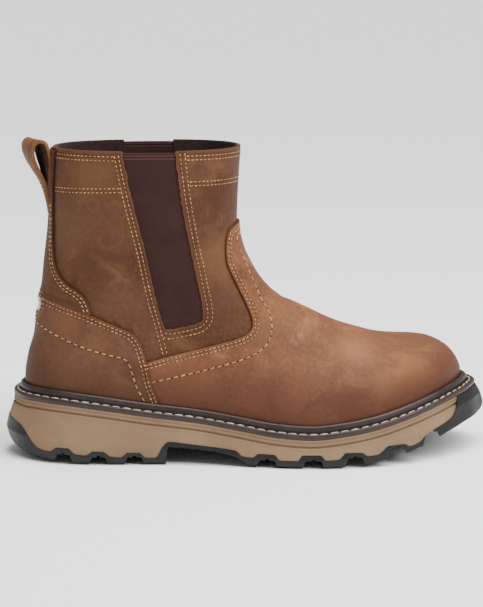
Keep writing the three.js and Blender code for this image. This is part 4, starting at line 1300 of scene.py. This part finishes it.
def sewRow(bm, row, normals, kind):
    run = runAlong(row)
    count = int(run[-1] / kind["pitch"])
    if count < 1:
        return
    at = (np.arange(count) + 0.5) * run[-1] / count
    half = kind["length"] / 2
    places, ups = pointsAt(row, run, at), pointsAt(normals, run, at)
    firsts, lasts = pointsAt(row, run, at - half), pointsAt(row, run, at + kind["pitch"] / 2)
    for place, up, first, last in zip(places, ups, firsts, lasts):
        along = Vector(last - first).normalized()
        side = Vector(up).cross(along).normalized()
        turn = Matrix((along, side, along.cross(side))).transposed().to_4x4()
        lean = Matrix.Rotation(kind["lean"] + random.uniform(-0.06, 0.06), 4, "Z")
        size = (half * random.uniform(0.94, 1.04), kind["width"] / 2, kind["depth"], 1)
        whole = Matrix.Translation(place) @ turn @ lean @ Matrix.Diagonal(size)
        bmesh.ops.create_uvsphere(bm, u_segments=6, v_segments=4, radius=1,
                                  matrix=whole @ Matrix.Rotation(math.pi / 2, 4, "Y"))
        # Dark flattened discs at the ends of the stitches: painted shade in their needle holes.
        if kind["holeShade"]:
            size = Matrix.Diagonal((kind["holeShade"], kind["holeShade"] * 0.8, 0.12, 1))
            holeShade = Matrix.Translation(last) @ turn @ size
            made = bmesh.ops.create_uvsphere(bm, u_segments=6, v_segments=4, radius=1, matrix=holeShade)
            for face in {face for vert in made["verts"] for face in vert.link_faces}:
                face.material_index = 1


def sewPiece(name, rows, material):
    # Each row is a line with its normals and the kind of its stitches.
    random.seed(7)
    whole = bmesh.new()
    for row, normals, kind in rows:
        bm = bmesh.new()
        sewRow(bm, row, normals, stitching[kind])
        mesh = bpy.data.meshes.new("row")
        bm.to_mesh(mesh)
        bm.free()
        whole.from_mesh(mesh)
        bpy.data.meshes.remove(mesh)
    finishPiece(name, whole, [material, "holeShade"])


def sewOverlays():
    over = overlayRise + 0.05
    rows = []
    for distance in (1.7, 3.9):
        rows.append((*offsetRow(vampEdge, -distance, over), "fine"))
    rows.append((*offsetRow(acrossMiddle(lines["vampBold"]), 0, over), "bold"))
    sewPiece("vampStitches", rows, "thread")
    over += 0.1
    rows = []
    for distance in (1.7, 3.9):
        edge = counterEdge[(counterEdge[:, 0] > -140) | (np.abs(counterEdge[:, 1]) > window["half"] + 3)]
        half = edge[:, 1] < 0
        rows += [(*offsetRow(part, distance, over), "fine") for part in (edge[half], edge[~half])]
        notch = windowLine()
        rows.append((*offsetRow(notch[notch[:, 2] < 104], distance, over), "fine"))
    rows.append((*offsetRow(acrossMiddle(lines["counterBold"]), 0, over), "bold"))
    sewPiece("counterStitches", rows, "thread")


def sewShaft():
    rows = []
    top = boot["collarHeight"]

    def level(x0, x1, z0, z1):
        return np.column_stack([np.linspace(x0, x1, 400), np.linspace(z0, z1, 400)])
    goreRear = lines["goreRear"]
    gore = splineThrough(seams["goreFoot"] + seams["goreFront"], 60)
    rear = splineThrough(seams["goreRear"] + seams["bridge"], 60)
    gore, rear = gore[gore[:, 1] < top - 1], rear[rear[:, 1] < top - 1]
    for side, left in ((0, -1), (1, 1)):
        for front, back in ((3.0, 2.6), (6.0, 5.2)):
            rows.append((*offsetRow(faceLine(gore, side), left * front, 0.05), "fine"))
            rows.append((*offsetRow(faceLine(rear, side), left * back, 0.05), "fine"))
        for z0, z1 in ((195.7, 195.7), (193.2, 193.2), (174.6, 176.2), (172.1, 173.7)):
            end = float(np.interp(z1, goreRear[::-1, 1], goreRear[::-1, 0])) - 5.4
            rows.append((*offsetRow(faceLine(level(-124.5, end, z0, z1), side), 0, 0.05), "fine"))
    for z in (195.9, 193.4, 179.8, 177.3):
        start = float(np.interp(z, lines["goreFront"][:, 1], lines["goreFront"][:, 0])) + 6.4
        front = acrossMiddle(level(float(frontX(levelOf(z))) - 0.01, start, z, z))
        rows.append((*offsetRow(front, 0, 0.05), "fine"))
    sewPiece("shaftStitches", rows, "thread")
    rows = []
    over = overlayRise + 0.05
    line = lines["backstay"]
    line = line[(line[:, 1] < 164) & (line[:, 1] > 97.5)]
    for side, left in ((0, -1), (1, 1)):
        for distance in (1.7, 3.9):
            rows.append((*offsetRow(faceLine(line, side), left * distance, over), "fine"))
    for step in (1.7, 3.9):
        rows.append((*offsetRow(acrossBack(-11, 11, window["tongue"] + step), 0, over), "fine"))
    sewPiece("backstayStitches", rows, "thread")
    rows = []
    for y in (-9.2, 9.2):
        line = loopLine(y, 0.05)
        line = line[6:20]
        rows.append((line, np.tile([-1.0, 0, 0.1], (len(line), 1)), "fine"))
    for step in (17, 20):
        line = np.array([loopLine(y, 0.05)[step] for y in np.linspace(-9.2, 9.2, 30)])
        rows.append((line, np.tile([-1.0, 0, 0.1], (len(line), 1)), "fine"))
    sewPiece("loopStitches", rows, "thread")


def sewWelt():
    ring = weltRing(0.66, 2.9)
    ring = np.vstack([ring, ring[:1]])
    around = np.gradient(ring, axis=0)
    normals = np.column_stack([around[:, 1], -around[:, 0], np.zeros(len(ring))])
    normals = normals / np.linalg.norm(normals, axis=1, keepdims=True) * 0.25 + np.array([0, 0, 1])
    sewPiece("weltStitches", [(ring, normals, "welt")], "weltThread")


sewOverlays()
sewShaft()
sewWelt()


# Floor and light.
studio = {
    "floor": "fbfbfa", "world": 0.45,
    "sun": {"turn": (25, 0, 34), "strength": 4.1, "angle": 46},
    # name: place in m, size in m, power
    "lights": {"topLight": ((0.15, -0.1, 1.5), 0.9, 16), "toeLight": ((1.0, -0.8, 0.8), 0.6, 10)},
}


def addLight(name, kind, **settings):
    light = bpy.data.lights.new(name, kind)
    for key, value in settings.items():
        setattr(light, key, value)
    lamp = bpy.data.objects.new(name, light)
    bpy.context.scene.collection.objects.link(lamp)
    return lamp


def makeStudio():
    bm = bmesh.new()
    bmesh.ops.create_grid(bm, x_segments=1, y_segments=1, size=60)
    mesh = bpy.data.meshes.new("studioFloor")
    bm.to_mesh(mesh)
    bm.free()
    floor = bpy.data.objects.new("studioFloor", mesh)
    bpy.context.scene.collection.objects.link(floor)
    pale = Finish("paleFloor", roughness=0.9, Specular_IOR_Level=0.05)
    pale.colour(studio["floor"])
    mesh.materials.append(pale.material)
    world = bpy.data.worlds.new("studio")
    bpy.context.scene.world = world
    world.use_nodes = True
    world.node_tree.nodes["Background"].inputs["Color"].default_value = (1, 1, 1, 1)
    world.node_tree.nodes["Background"].inputs["Strength"].default_value = studio["world"]
    sun = studio["sun"]
    lamp = addLight("keySun", "SUN", energy=sun["strength"], angle=math.radians(sun["angle"]))
    lamp.rotation_euler = [math.radians(turn) for turn in sun["turn"]]
    for name, (place, size, power) in studio["lights"].items():
        lamp = addLight(name, "AREA", shape="DISK", size=size, energy=power)
        lamp.location = place
        lamp.rotation_euler = (Vector((0, 0, 0.1)) - Vector(place)).to_track_quat("-Z", "Y").to_euler()


makeStudio()
